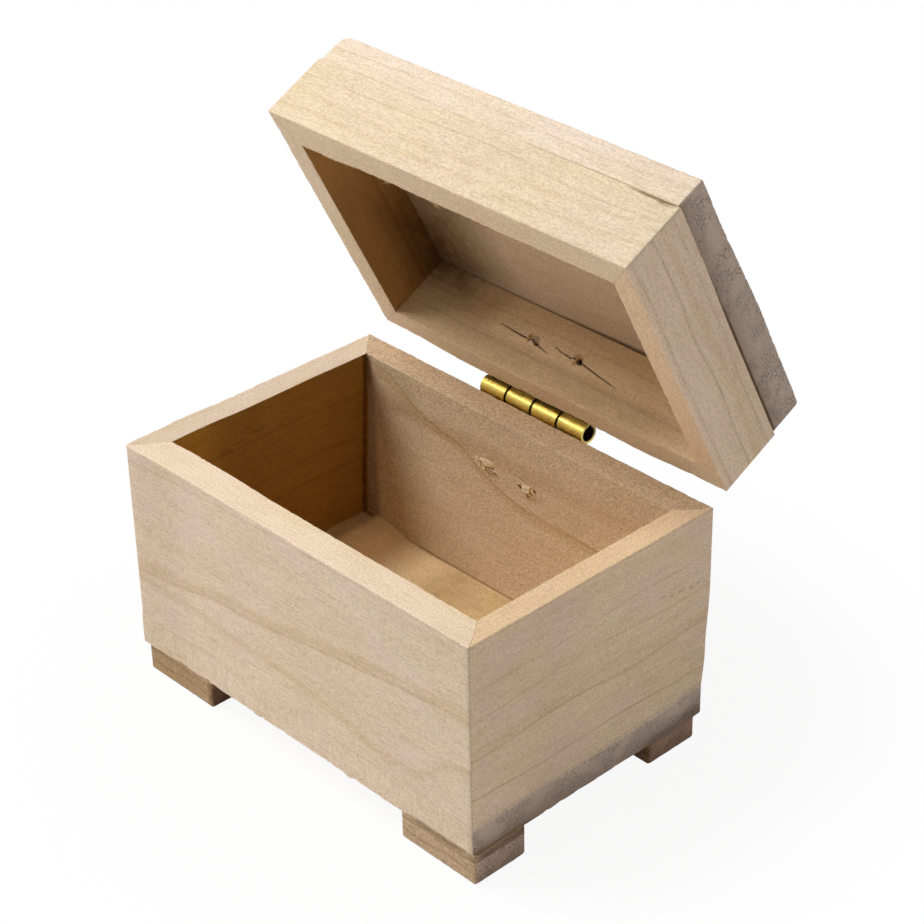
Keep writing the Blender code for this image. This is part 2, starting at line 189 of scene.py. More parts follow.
def ruled_block(name, rows):
    """A closed block cut along the given rows of X, Y and Z, with its low corner at the origin."""
    shape = bmesh.new()
    bmesh.ops.create_cube(shape, size=1)
    for axis in range(3):
        along = [
            edge for edge in shape.edges
            if abs(edge.verts[0].co[axis] - edge.verts[1].co[axis]) > 0.5
        ]
        bmesh.ops.subdivide_edges(shape, edges=along, cuts=len(rows[axis]) - 2, use_grid_fill=True)
    mesh = bpy.data.meshes.new(name)
    shape.to_mesh(mesh)
    shape.free()
    return mesh


def read_points(mesh):
    points = np.zeros(len(mesh.vertices) * 3)
    mesh.vertices.foreach_get("co", points)
    return points.reshape(-1, 3)


def put_on_rows(points, rows):
    """Moves the even block's points onto the rows."""
    placed = np.empty_like(points)
    for axis in range(3):
        index = np.rint((points[:, axis] + 0.5) * (len(rows[axis]) - 1)).astype(int)
        placed[:, axis] = rows[axis][index]
    return placed


def edge_radii(points, size, radii, usual):
    """The rounding that belongs to the edge nearest to each point."""
    table = np.full((6, 6), float(usual))
    for (first, second), radius in radii.items():
        a, b = FACE_NAMES.index(first), FACE_NAMES.index(second)
        table[a, b] = table[b, a] = radius
    far_side = points > size / 2
    gap = np.where(far_side, size - points, points)
    face = np.arange(3) * 2 + far_side
    order = np.argsort(gap, axis=1)
    nearest = np.take_along_axis(face, order, axis=1)
    return table[nearest[:, 0], nearest[:, 1]]


def round_edges(points, size, radius):
    """Rounds the block's edges, and gives the outward direction at each point."""
    radius = radius[:, None]
    inner = np.clip(points, radius, size - radius)
    away = points - inner
    length = np.linalg.norm(away, axis=1, keepdims=True)
    outward = away / np.maximum(length, 1e-9)
    return inner + outward * radius, outward


def soft_share(points, at, reach):
    """1 within half the reach of a place, fading to 0 at the reach."""
    share = np.clip(2 - 2 * np.abs((points - at) / reach), 0, 1)
    return np.prod(share * share * (3 - 2 * share), axis=1)


def press(points, dents, seed):
    """Pushes the points inside each dent, and gives how dark the wood is there."""
    dark = np.zeros(len(points))
    ragged = 1 + 0.45 * soft_noise(points * DENT_RATE, seed)
    for dent in dents:
        offset = (points - dent.at) / dent.reach
        depth = np.clip(1 - (offset ** 2).sum(axis=1), 0, 1)
        points = points + np.outer(depth * ragged, dent.push)
        dark = np.maximum(dark, dent.dark * depth)
    return points, dark


def split_open(points, thickness, cracks):
    """Opens the cracks in the inner face, tapering to both ends, and gives how dark it is there."""
    dark = np.zeros(len(points))
    near_face = np.clip((points[:, 1] - thickness) / 0.4 + 1, 0, 1)
    for crack in cracks:
        places = np.array(crack.points, dtype=float)
        runs = np.linalg.norm(np.diff(places, axis=0), axis=1)
        total = runs.sum()
        done = 0.0
        open_share = np.zeros(len(points))
        for start, end, run in zip(places, places[1:], runs):
            along = np.clip((points[:, (0, 2)] - start) @ (end - start) / run ** 2, 0, 1)
            off = points[:, (0, 2)] - start - np.outer(along, end - start)
            share = (done + along * run) / total
            width = crack.width * np.sqrt(np.clip(4 * share * (1 - share), 0.02, 1)) / 2
            open_share = np.maximum(open_share, 1 - np.linalg.norm(off, axis=1) / width)
            done += run
        open_share = np.clip(open_share, 0, 1) * near_face
        points[:, 1] -= open_share * crack.depth
        # The crack's darkness: torn wood and painted shade inside the narrow split
        dark = np.maximum(dark, np.clip(open_share * 2.2, 0, 1))
    return points, dark


def mitre(points, length, gap):
    """Slants both ends at 45 degrees, so the board is shorter on its inner face."""
    half = length / 2
    reach = (half - gap - points[:, 1]) / half
    points[:, 0] = half + (points[:, 0] - half) * reach
    return points


def sand_corners(points, size, corners):
    """Rounds each edge named by its two faces, squeezing the square corner into the arc."""
    for faces, radius in corners.items():
        offsets = []
        for face in faces:
            axis, far = divmod(FACE_NAMES.index(face), 2)
            side = 1 - 2 * far
            offsets.append((axis, side, (points[:, axis] - far * size[axis]) * side - radius))
        first, second = offsets[0][2], offsets[1][2]
        square = np.maximum(np.abs(first), np.abs(second))
        round_off = square / np.maximum(np.hypot(first, second), 1e-9)
        share = np.where((first < 0) & (second < 0), round_off, 1)
        for axis, side, offset in offsets:
            far_edge = size[axis] if side < 0 else 0
            points[:, axis] = far_edge + side * (radius + offset * share)
    return points


def carried(points, matrix):
    """The points, in millimetres, carried by a matrix that is in metres."""
    return points @ np.array(matrix.to_3x3()).T + np.array(matrix.translation) / MM


def leaned(points, board):
    """The board's points in its body's axes, pushed by each lean that reaches them."""
    points = carried(points, board.placement)
    for lean in board.leans:
        points = points + np.outer(soft_share(points, lean.at, lean.reach), lean.push)
    return points


def set_piece(name, mesh, points, board, look):
    """Puts the shaped points into the mesh and the piece on its body, with its own wood."""
    points = carried(points, board.placement.inverted())
    mesh.vertices.foreach_set("co", (points * MM).ravel())
    mesh.shade_smooth()
    obj = bpy.data.objects.new(name, mesh)
    bpy.context.scene.collection.objects.link(obj)
    obj.matrix_world = board.body.pivot @ board.placement
    mesh.materials.append(wood(name + "_wood", board.size, look))
    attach(obj, board.body.name)
    return obj


def add_attribute(mesh, name, values):
    layer = mesh.attributes.new(name, "FLOAT", "POINT")
    layer.data.foreach_set("value", values.astype(np.float32))


def worn_board(name, board, look, shape):
    """A board with worn edges, a faint relief, its dents and cracks, and its own wood."""
    wear = bpy.context.scene.chest_wear
    size = np.array(board.size)
    rows = [ruled_rows(size[axis], shape.pitch[axis], shape.marks.spans[axis]) for axis in range(3)]
    mesh = ruled_block(name, rows)
    points = put_on_rows(read_points(mesh), rows)
    radius = edge_radii(points, size, shape.radii, wear.edge_round / MM)
    wobble = 1 + wear.edge_wobble * rough_noise(points / WOBBLE_LENGTH, look.seed)
    nicks = np.clip(soft_noise(points / NICK_LENGTHS, look.seed + 9) - NICK_RARITY, 0, 1)
    nicks = nicks * wear.nick_size / MM * (radius > NICKED_RADIUS)
    radius = np.clip(radius * wobble + nicks, LEAST_RADIUS, min(size) / 2.2)
    points, outward = round_edges(points, size, radius)
    relief = 1 + rough_noise(points * RELIEF_RATE, look.seed + 3)
    points = points - outward * (relief * wear.relief / MM / 2)[:, None]
    if shape.rough:
        torn = np.abs(outward[:, 0]) > 0.9
        pits = np.clip(rough_noise(points * TORN_RATE, look.seed + 5), 0, 1)
        points = points - outward * (pits * shape.rough * torn)[:, None]
    points, dark = press(points, shape.marks.dents, look.seed)
    points, split = split_open(points, size[1], shape.marks.cracks)
    if shape.mitred:
        points = mitre(points, size[0], wear.mitre_gap / MM)
    points = sand_corners(points, size, shape.corners)
    points = leaned(points, board)
    # Grime and painted shade: the body's patches darken inner corners, joints and faces under other parts, where
    # shade falls, with a little noise
    grime = np.zeros(len(points))
    for patch in board.body.grimes:
        grime = np.maximum(grime, patch.depth * soft_share(points, patch.at, patch.reach))
    grime = grime * np.clip(0.97 + 0.12 * soft_noise(points * GRIME_AND_SHADE_RATE, look.seed), 0, 1)
    if shape.mitred:
        grime = grime * (np.abs(outward[:, 2]) < 0.7)
    # The split darkness is torn wood with painted shade inside the cracks and dents
    add_attribute(mesh, "split_and_shade", np.maximum(dark, split))
    add_attribute(mesh, "grime", grime)
    obj = set_piece(name, mesh, points, board, look)
    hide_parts(*board.nodes)
    return obj


def frame_board(nodes, quarter, body):
    """One board of a mitred frame: its length is the frame's, its own section comes from its node."""
    low, high = reach_of(nodes, body.pivot)
    own_low, own_high = reach_of(nodes[quarter:quarter + 1], body.pivot)
    starts = ((low[0], low[1]), (high[0], low[1]), (high[0], high[1]), (low[0], high[1]))
    length = (high - low)[quarter % 2]
    thickness = (own_high - own_low)[(quarter + 1) % 2]
    place = Vector((*starts[quarter], low[2])) * MM
    turn = Matrix.Rotation(quarter * math.pi / 2, 4, "Z")
    size = (length, thickness, high[2] - low[2])
    return Board(nodes[quarter:quarter + 1], size, Matrix.Translation(place) @ turn, body, body.leans)


def flat_board(node, body, margin_low=0.0, margin_high=0.0):
    """A board or block that lies square in its body's axes."""
    low, high = reach_of((node,), body.pivot)
    low = low - (0, 0, margin_low)
    size = high + (0, 0, margin_high) - low
    return Board((node,), tuple(size), Matrix.Translation(Vector(low) * MM), body, body.leans)


def add_sliver(shape, splinter, face, seed):
    """A torn sliver of wood from its base to its tip, lifting off the face as it goes."""
    base = np.array((splinter.base[0], face, splinter.base[1]))
    tip = np.array((splinter.tip[0], face, splinter.tip[1]))
    run = tip - base
    side = np.array((-run[2], 0, run[0])) / max(np.linalg.norm(run), 1e-6)
    rise = np.array((0, 1, 0))
    rings = []
    for step in range(SLIVER_RINGS):
        share = step / (SLIVER_RINGS - 1)
        sway = soft_noise(np.array([[share * 3.1, seed, 0.5]]), seed)[0] * splinter.width * 0.35
        middle = base + run * share + side * sway + rise * (splinter.lift * share ** 0.7 - 0.05)
        half = splinter.width / 2 * (1.0 - 0.9 * share) * (1 + 0.3 * math.sin(seed * 5 + step * 2.4))
        ring = []
        for corner in range(SLIVER_SIDES):
            angle = corner / SLIVER_SIDES * 2 * math.pi + seed
            place = middle + side * half * math.cos(angle) + rise * half * 0.6 * math.sin(angle)
            ring.append(shape.verts.new(place * MM))
        rings.append(ring)
    for near, far in zip(rings, rings[1:]):
        for corner in range(SLIVER_SIDES):
            after = (corner + 1) % SLIVER_SIDES
            shape.faces.new((near[corner], near[after], far[after], far[corner]))
    shape.faces.new(rings[0][::-1])
    shape.faces.new(rings[-1])
    return [vert for ring in rings for vert in ring]


def splinters(name, board, table, look):
    """The slivers that stand off a board's inner face, as one piece."""
    shape = bmesh.new()
    dark = shape.verts.layers.float.new("split_and_shade")
    for index, splinter in enumerate(table):
        for vert in add_sliver(shape, splinter, board.size[1], index * 1.7 + look.seed):
            vert[dark] = splinter.dark
    bmesh.ops.recalc_face_normals(shape, faces=shape.faces)
    mesh = bpy.data.meshes.new(name)
    shape.to_mesh(mesh)
    shape.free()
    points = leaned(read_points(mesh) / MM, board)
    obj = set_piece(name, mesh, points, board, look)
    return obj


def fuzz(start, end, pitch, lift, seed):
    """Short fibres left standing along the inner edge of a rim."""
    places = np.arange(start, end, pitch)
    sway = soft_noise(np.column_stack((places * 1.7, places * 0, places * 0)), seed)
    return tuple(
        Splinter((place, 0.3), (place + swing, 0.08), 0.22, lift * (1 + swing))
        for place, swing in zip(places, sway)
    )


def corner_shade(outer, run, depth):
    """Painted shade that fades away from an inner corner and ends before the outer faces."""
    outer = np.array(outer)
    run = np.array(run)
    return tuple(
        Grime(outer + run * share / 2, np.abs(run) * share / 2, depth * strength)
        for share, strength in CORNER_FADE
    )


# Materials

class Recipe:
    """The nodes of one material or of the world, added step by step."""

    def __init__(self, owner):
        owner.use_nodes = True
        self.material = owner
        self.tree = owner.node_tree
        self.shader = self.tree.nodes.get("Principled BSDF")

    def feed(self, socket, value):
        if isinstance(value, bpy.types.NodeSocket):
            self.tree.links.new(value, socket)
        else:
            socket.default_value = value

    def add(self, kind, values, **settings):
        node = self.tree.nodes.new(kind)
        for key, value in settings.items():
            setattr(node, key, value)
        for key, value in values.items():
            self.feed(node.inputs[key], value)
        return node

    def math(self, operation, first, second=0.0, clamp=False):
        values = {0: first, 1: second}
        return self.add("ShaderNodeMath", values, operation=operation, use_clamp=clamp).outputs[0]

    def plus(self, first, second):
        return self.math("ADD", first, second)

    def minus(self, first, second):
        return self.math("SUBTRACT", first, second)

    def times(self, first, second):
        return self.math("MULTIPLY", first, second)

    def vector(self, operation, first, second):
        return self.add("ShaderNodeVectorMath", {0: first, 1: second}, operation=operation).outputs[0]

    def split(self, vector):
        return self.add("ShaderNodeSeparateXYZ", {0: vector}).outputs

    def join(self, x, y, z):
        return self.add("ShaderNodeCombineXYZ", {0: x, 1: y, 2: z}).outputs[0]

    def noise(self, vector, detail, roughness=0.5):
        values = {"Vector": vector, "Scale": 1.0, "Detail": detail, "Roughness": roughness}
        return self.add("ShaderNodeTexNoise", values).outputs[0]

    def step(self, value, low, high, bottom=0.0, top=1.0):
        """A soft step from bottom to top as the value goes from low to high."""
        values = {"Value": value, "From Min": low, "From Max": high, "To Min": bottom, "To Max": top}
        node = self.add("ShaderNodeMapRange", values, interpolation_type="SMOOTHSTEP")
        return node.outputs["Result"]

    def blend(self, share, first, second, kind="MIX"):
        values = {0: share, 6: first, 7: second}
        node = self.add("ShaderNodeMix", values, data_type="RGBA", blend_type=kind)
        return node.outputs[2]

    def tinted(self, colour, tint):
        return self.blend(1.0, colour, tint, "MULTIPLY")

    def curve(self, value, points):
        """A smooth curve through the points, all from 0 to 1."""
        node = self.add("ShaderNodeFloatCurve", {"Value": value})
        line = node.mapping.curves[0]
        line.points[0].location = points[0]
        line.points[1].location = points[-1]
        for point in points[1:-1]:
            line.points.new(*point)
        node.mapping.update()
        return node.outputs[0]

    def bump(self, height, distance, strength=1.0):
        values = {"Height": height, "Distance": distance, "Strength": strength}
        normal = self.add("ShaderNodeBump", values).outputs[0]
        self.feed(self.shader.inputs["Normal"], normal)


def rgba(colour):
    return (*colour, 1.0)


def seen_directly(recipe):
    """1 for what the camera sees, also in a reflection or through glass."""
    rays = recipe.add("ShaderNodeLightPath", {}).outputs
    seen = recipe.math("MAXIMUM", rays["Is Camera Ray"], rays["Is Glossy Ray"])
    return recipe.math("MAXIMUM", seen, rays["Is Transmission Ray"])


def grain_line(recipe, places, size, line, ragged):
    """How strongly one growth line shows at each place: it follows its curve along the board."""
    x, z = places
    along = recipe.math("DIVIDE", x, size[0], clamp=True)
    shares = [(px / size[0], pz / size[2]) for px, pz in line.points]
    height = recipe.times(recipe.curve(along, shares), size[2])
    off = recipe.minus(z, height)
    off = recipe.plus(off, recipe.times(ragged, line.width * 1.6))
    side = recipe.math("ABSOLUTE", off)
    return recipe.step(side, line.width * 0.15, line.width, line.strength, 0.0)


def sized(recipe, vector, scale):
    return recipe.vector("MULTIPLY", vector, scale)


def end_grain(recipe, tone, seeded, z, height):
    """Where the open tubes of torn end grain lie, and its colour."""
    pits = recipe.noise(sized(recipe, seeded, (2.0, 2.9, 2.9)), 3.0, 0.65)
    patch = recipe.noise(sized(recipe, seeded, (0.2, 0.22, 0.3)), 2.0, 0.5)
    tubes = recipe.times(recipe.step(pits, 0.5, 0.64), recipe.step(patch, 0.38, 0.6))
    torn = recipe.blend(recipe.times(tubes, 0.6), rgba(tone.end_pale), rgba(tone.end_dark))
    low = recipe.step(recipe.plus(z, recipe.times(pits, 2.0)), height * 0.9, 0.6)
    return tubes, recipe.blend(recipe.times(low, 0.8), torn, rgba(tone.end_dark))


def raised_fibres(recipe, tone, seeded, outer, share, colour):
    """The colour with dark and bright streaks of raised fibres on the outer face."""
    fuzz = recipe.noise(sized(recipe, seeded, (3.0, 0.6, 0.5)), 3.0, 0.65)
    streak = recipe.times(recipe.step(fuzz, 0.48, 0.7, 0.0, share * 0.5), outer)
    colour = recipe.blend(streak, colour, rgba(tone.late))
    bright = recipe.times(recipe.step(fuzz, 0.5, 0.34, 0.0, share), outer)
    return recipe.blend(bright, colour, rgba(tone.bright))


def grimed_and_shaded(recipe, tone, colour):
    """The colour with the piece's grime and painted shade, and its split wood with the painted shade in the
    cracks.
    """
    grime = recipe.add("ShaderNodeAttribute", {}, attribute_name="grime").outputs["Fac"]
    # The tint of grime and painted shade, from white to the grime colour
    worn = recipe.blend(grime, rgba((1, 1, 1)), rgba(tone.grime))
    colour = recipe.tinted(colour, worn)
    # Split wood, darkened with painted shade inside the cracks and dents
    split = recipe.add("ShaderNodeAttribute", {}, attribute_name="split_and_shade").outputs["Fac"]
    return recipe.blend(split, colour, rgba(tone.split))


def wood(name, size, look):
    """Raw pale wood: fibres along X, grit, growth lines, and torn end grain on the X faces."""
    tone = bpy.context.scene.chest_wood
    recipe = Recipe(bpy.data.materials.new(name))
    coords = recipe.add("ShaderNodeTexCoord", {}).outputs
    place = sized(recipe, coords["Object"], (1 / MM,) * 3)
    x, y, z = recipe.split(place)
    nx, ny, nz = recipe.split(coords["Normal"])
    shift = (look.seed * 7.3, look.seed * 3.1, look.seed * 5.7)
    seeded = recipe.vector("ADD", place, shift)

    sway = recipe.noise(sized(recipe, seeded, (0.03, 0.08, 0.08)), 2.0)
    sway = recipe.minus(sway, 0.5)
    drift = recipe.join(0.0, 0.0, recipe.times(sway, 3.0))
    bent = recipe.vector("ADD", seeded, drift)

    inner = recipe.step(ny, 0.6, 0.8)
    rim = recipe.step(recipe.math("ABSOLUTE", nz), 0.6, 0.8)
    end = recipe.step(recipe.math("ABSOLUTE", nx), 0.6, 0.8)
    if look.border:
        fray = recipe.noise(sized(recipe, seeded, (1.0, 2.6, 0.5)), 3.0, 0.7)
        frayed = recipe.plus(z, recipe.times(fray, 3.0))
        top = size[2] + 1.3
        end = recipe.times(end, recipe.step(frayed, top, top - look.border))

    fibre = recipe.noise(sized(recipe, bent, (0.22, 3.0, 3.0)), 4.0, 0.62)
    along_grit = recipe.noise(sized(recipe, bent, (1.5, 5.0, 5.0)), 2.0, 0.7)
    round_grit = recipe.noise(sized(recipe, seeded, (3.4, 3.8, 3.8)), 2.0, 0.7)
    change = recipe.minus(round_grit, along_grit)
    change = recipe.times(change, recipe.step(rim, 0.0, 1.0, 0.45, 1.0))
    grit = recipe.plus(along_grit, change)
    mottle = recipe.noise(sized(recipe, bent, (0.07, 0.2, 0.2)), 3.0, 0.55)
    cloud = recipe.noise(sized(recipe, seeded, (0.08, 0.11, 0.11)), 2.0)

    ring_place = recipe.plus(recipe.split(bent)[2], recipe.times(y, 0.7))
    ring_place = recipe.plus(ring_place, recipe.times(mottle, 6.0))
    phase = recipe.math("FRACT", recipe.math("DIVIDE", ring_place, tone.ring_pitch / MM))
    ring = recipe.times(recipe.step(phase, 0.3, 0.93), recipe.step(phase, 1.0, 0.93))
    ring = recipe.times(ring, recipe.step(cloud, 0.42, 0.62))

    dark = recipe.times(ring, tone.ring_contrast)
    dark = recipe.plus(dark, recipe.step(fibre, 0.46, 0.76, 0.0, tone.fibre_contrast))
    dark = recipe.plus(dark, recipe.step(mottle, 0.35, 0.75, 0.0, 0.12))
    flecks = recipe.step(along_grit, 0.58, 0.7, 0.0, tone.fleck_contrast * look.speckle)
    dark = recipe.plus(dark, flecks)
    honey = 0.0
    for line in look.lines:
        shown = grain_line(recipe, (x, z), size, line, sway)
        if line.tone == "honey":
            honey = recipe.plus(shown, honey)
        else:
            dark = recipe.plus(dark, shown)
    light = recipe.step(fibre, 0.56, 0.28, 0.0, tone.fibre_contrast)

    tint = recipe.blend(inner, rgba(look.outer_tint), rgba(look.inner_tint))
    tint = recipe.blend(rim, tint, rgba(look.rim_tint))
    colour = recipe.blend(recipe.math("MINIMUM", honey, 1.0), rgba(tone.pale), rgba(tone.honey))
    colour = recipe.blend(recipe.math("MINIMUM", dark, 1.0), colour, rgba(tone.late))
    colour = recipe.blend(light, colour, rgba(tone.bright))
    warm = recipe.blend(recipe.step(cloud, 0.35, 0.65), rgba(tone.pink), rgba(tone.yellow))
    colour = recipe.tinted(colour, warm)

    tubes, torn = end_grain(recipe, tone, seeded, z, size[2])
    colour = recipe.tinted(colour, tint)
    if look.end_tint:
        colour = recipe.blend(end, colour, recipe.tinted(torn, rgba(look.end_tint)))
    if look.stand_up:
        outer = recipe.step(ny, -0.6, -0.8)
        colour = raised_fibres(recipe, tone, seeded, outer, look.stand_up, colour)

    strength = tone.grit_contrast * look.speckle
    shade = recipe.step(grit, 0.34, 0.66, 1 + strength, 1 - strength)
    colour = recipe.tinted(colour, recipe.join(shade, shade, shade))
    recipe.feed(recipe.shader.inputs["Base Color"], grimed_and_shaded(recipe, tone, colour))
    recipe.feed(recipe.shader.inputs["Roughness"], recipe.step(fibre, 0.3, 0.7, 0.62, 0.86))
    recipe.shader.inputs["Specular IOR Level"].default_value = 0.25

    height = recipe.minus(fibre, grit)
    rough_end = recipe.times(recipe.times(tubes, end), 1.6)
    height = recipe.minus(height, rough_end)
    recipe.bump(height, tone.bump_height, 1.0)
    return recipe.material


def brass(name, colour, tarnish_share, roughness):
    """Rolled brass sheet: drawn lines along the barrel, tarnish, and dark seams and a dark hollow, painted for
    their grease and their shade.
    """
    metal = bpy.context.scene.chest_metal
    recipe = Recipe(bpy.data.materials.new(name))
    coords = recipe.add("ShaderNodeTexCoord", {}).outputs
    place = sized(recipe, coords["Object"], (1 / MM,) * 3)
    drawn = recipe.noise(sized(recipe, place, (0.9, 7.0, 7.0)), 3.0, 0.6)
    stain = recipe.noise(sized(recipe, place, (0.45, 1.2, 1.2)), 2.0, 0.5)
    stained = recipe.step(stain, 0.66 - tarnish_share * 0.3, 0.8, 0.0, 0.8)
    shown = recipe.blend(stained, rgba(colour), rgba(metal.tarnish))
    shown = recipe.blend(recipe.step(drawn, 0.42, 0.7, 0.0, 0.35), shown, rgba(metal.tarnish))
    from_axis = recipe.vector("SUBTRACT", place, tuple(HINGE_PLACE / MM))
    _, across, up = recipe.split(from_axis)
    rise = recipe.plus(across, up)
    # The tarnish colour over the upper back of the barrel and under it, leaving a bright band along its front
    above = recipe.step(rise, -0.5, 1.3, 0.0, 0.85)
    dull = recipe.math("MAXIMUM", above, recipe.step(rise, -1.6, -2.4, 0.0, 0.7))
    shown = recipe.blend(dull, shown, rgba(metal.tarnish))
    turn = recipe.minus(recipe.split(place)[0], HINGE_START)
    turn = recipe.math("DIVIDE", turn, KNUCKLE_PITCH)
    nearest = recipe.math("MAXIMUM", recipe.math("ROUND", turn), 1)
    nearest = recipe.math("MINIMUM", nearest, KNUCKLES - 1)
    off = recipe.math("ABSOLUTE", recipe.minus(turn, nearest))
    # Dark seams between the knuckles: grease and painted shade in the gaps
    seam = recipe.step(off, 0.065, 0.03, 0.0, 0.9)
    shown = recipe.blend(seam, shown, rgba(metal.grime))
    distance = recipe.add("ShaderNodeVectorMath", {0: recipe.join(0.0, across, up)}, operation="LENGTH")
    # Dark hollow inside the barrel: grease and painted shade in the bore, not metallic
    hollow = recipe.step(distance.outputs["Value"], metal.bore / MM + 0.12, metal.bore / MM)
    shown = recipe.blend(hollow, shown, rgba(metal.grime))
    worn = recipe.step(stain, 0.3, 0.75, roughness, roughness + 0.25)
    recipe.feed(recipe.shader.inputs["Base Color"], shown)
    recipe.feed(recipe.shader.inputs["Metallic"], recipe.minus(1.0, hollow))
    recipe.feed(recipe.shader.inputs["Roughness"], worn)
    recipe.bump(drawn, metal.scratch_depth, 0.4)
    return recipe.material


# Wood tables, in millimetres

CREAM = (1, 1, 1)
FRONT_LOOK = Look(1, (1.03, 1.02, 1.07), (0.95, 0.85, 0.72), (1.15, 1.17, 1.2), (
    Line(2, 0.5, (
        (0, 9.8), (5, 11.3), (10, 11.4), (15, 12.2), (20, 13.3), (30, 13.9), (40, 15.4),
        (50, 17), (60, 18.6), (70, 19.5), (80, 20),
    ), "honey"),
    Line(0.5, 0.22, ((0, 9.2), (10, 10.6), (20, 12.4), (30, 13.1), (50, 16.2), (70, 18.8), (80, 19.4))),
    Line(0.45, 0.2, ((0, 30.6), (12, 31.2), (25, 31.8), (40, 32.4), (80, 32.9))),
    Line(1.4, 0.4, (
        (0, 8.2), (20, 7.2), (50, 5.4), (64, 3.6), (70, 5.2), (74, 8.6), (80, 10),
    ), "honey"),
))
RIGHT_LOOK = Look(2, (1.08, 1.02, 1.01), (0.9, 0.75, 0.6), (1.06, 0.97, 0.85), (
    Line(0.4, 0.22, ((0, 19.2), (10, 19.7), (20, 20.2), (30, 20.1), (40, 19.4), (52.8, 19.5))),
    Line(0.45, 0.34, (
        (0, 12.3), (10, 12.6), (17, 13.2), (25, 12.9), (35, 12.1), (45, 12.7), (52.8, 12.9),
    )),
    Line(0.35, 0.42, ((0, 5.1), (10, 4.6), (20, 4.4), (30, 4.5), (40, 4.2), (52.8, 3.2))),
    Line(0.3, 0.22, ((0, 24.6), (20, 24.8), (35, 25.3), (45, 25.2), (52.8, 25.4))),
    Line(1.6, 0.35, ((0, 13.6), (25, 14.2), (52.8, 14)), "honey"),
))
# The back wall's darker rim tint is partly painted shade, where the open lid shades the back rim
BACK_LOOK = Look(3, CREAM, (0.87, 0.85, 0.79), (0.73, 0.66, 0.59), (
    Line(0.45, 0.5, (
        (0, 16.2), (16, 17.4), (22, 17.8), (34, 18.2), (38, 18.5), (42, 19.5), (46, 20.9), (49, 22.5),
        (52, 24.5), (56, 25.3), (60, 26.5), (64, 28.3), (67, 30.4), (70, 31.7), (80, 32.2),
    )),
    Line(1.5, 0.5, (
        (0, 15.6), (22, 17), (38, 17.8), (46, 20.2), (52, 23.8), (60, 25.8), (67, 29.6), (80, 31.6),
    ), "honey"),
    Line(0.4, 0.16, ((0, 9), (30, 9.9), (55, 9.2), (80, 8))),
), None, 0, 1.9)
# The left wall's dark, orange inner tint is painted shade: its inner face is turned away from the lamp
LEFT_LOOK = Look(4, CREAM, (0.57, 0.38, 0.075), (0.95, 0.95, 1), (
    Line(0.5, 0.25, ((0, 25.8), (10, 26), (25, 26.5), (36, 26.2), (52.8, 26.6))),
    Line(0.5, 0.3, ((0, 16.9), (15, 17.4), (30, 17.2), (52.8, 18))),
    Line(0.5, 0.3, ((0, 12.1), (20, 12.4), (35, 11.8), (52.8, 12.6))),
))
# The bottom board's brighter rim tint is partly painted light, lifting the shaded floor inside the box
BOTTOM_LOOK = Look(5, (1.02, 1.02, 1.06), CREAM, (1.27, 1.2, 0.95), (), CREAM, 0.4, 1, 0.9)
FOOT_LOOK = Look(6, (0.68, 0.6, 0.52), (0.7, 0.62, 0.52), (0.7, 0.62, 0.5), (
    Line(0.35, 0.6, ((0, 2.4), (5, 2), (10, 2.6), (17, 1.9))),
    Line(0.3, 0.5, ((0, 4.3), (6, 4.5), (12, 4.2), (17, 4.6))),
), (0.9, 0.84, 0.8), 0.2, 1.6)
LID_FRONT_LOOK = Look(7, (1.05, 1.07, 1.07), (0.9, 0.84, 0.76), (1.14, 1.12, 1.08), (
    Line(0.3, 0.28, ((0, 8.9), (20, 9.2), (45, 9.7), (60, 8.6), (77.8, 9.2))),
    Line(0.8, 0.3, ((0, 5.8), (30, 5.2), (55, 6.2), (66, 7.4), (77.8, 7.6)), "honey"),
    Line(0.8, 0.3, ((0, 2.6), (30, 2.8), (60, 3.6), (77.8, 4.8)), "honey"),
))
LID_RIGHT_LOOK = Look(8, (1.12, 1.07, 1.1), (0.9, 0.8, 0.68), (1.17, 1.08, 1), (
    Line(0.4, 0.34, ((0, 5.8), (10, 6.2), (22, 5.8), (34, 6.4), (42, 6.1), (52.7, 5.9))),
    Line(0.4, 0.24, ((0, 10.5), (10, 10.8), (22, 10.9), (36, 10.4), (52.7, 10.7))),
    Line(0.5, 0.26, ((0, 0.9), (10, 1.4), (25, 1.1), (40, 1.3), (52.7, 1.5))),
    Line(1.2, 0.35, ((0, 8.2), (25, 8.6), (52.7, 8.1)), "honey"),
))
LID_BACK_LOOK = Look(9, CREAM, (1.14, 1.07, 0.92), (1.18, 1.18, 1.15), (
    Line(0.4, 0.24, ((0, 4), (30, 3.4), (77.8, 3.9))),
    Line(0.5, 0.2, ((0, 9.6), (40, 9), (77.8, 9.4))),
))
# The lid's left rail has a dark inner tint that is painted shade, on the inner face turned away from the lamp
LID_LEFT_LOOK = Look(10, CREAM, (0.56, 0.4, 0.18), (1.12, 1.12, 1.12), (
    Line(0.5, 0.4, ((0, 8), (25, 8.4), (52.7, 7.6))),
))
TOP_LOOK = Look(11, (1.1, 1.13, 1.23), CREAM, (0.96, 0.94, 0.93), (
    Line(0.3, 0.2, ((0, 3), (30, 3.4), (55, 2.9), (77.8, 3.3))),
), CREAM)
FOOT_LOOKS = (
    # The front left foot and the rear right foot are darker: painted shade on the faces under the bottom board
    FOOT_LOOK._replace(outer_tint=(0.55, 0.45, 0.33), end_tint=(0.42, 0.3, 0.2)),
    FOOT_LOOK._replace(seed=9.7),
    FOOT_LOOK._replace(seed=13.4),
    FOOT_LOOK._replace(seed=17.1, outer_tint=(0.34, 0.23, 0.13), end_tint=(0.63, 0.51, 0.43)),
)
NAIL_LOOK = Look(12, (1.08, 0.97, 0.74), (1.08, 0.97, 0.74), (1.08, 0.97, 0.74), ())
PLUG_LOOK = Look(12, (1, 0.72, 0.34), (1, 0.72, 0.34), (1, 0.72, 0.34), ())
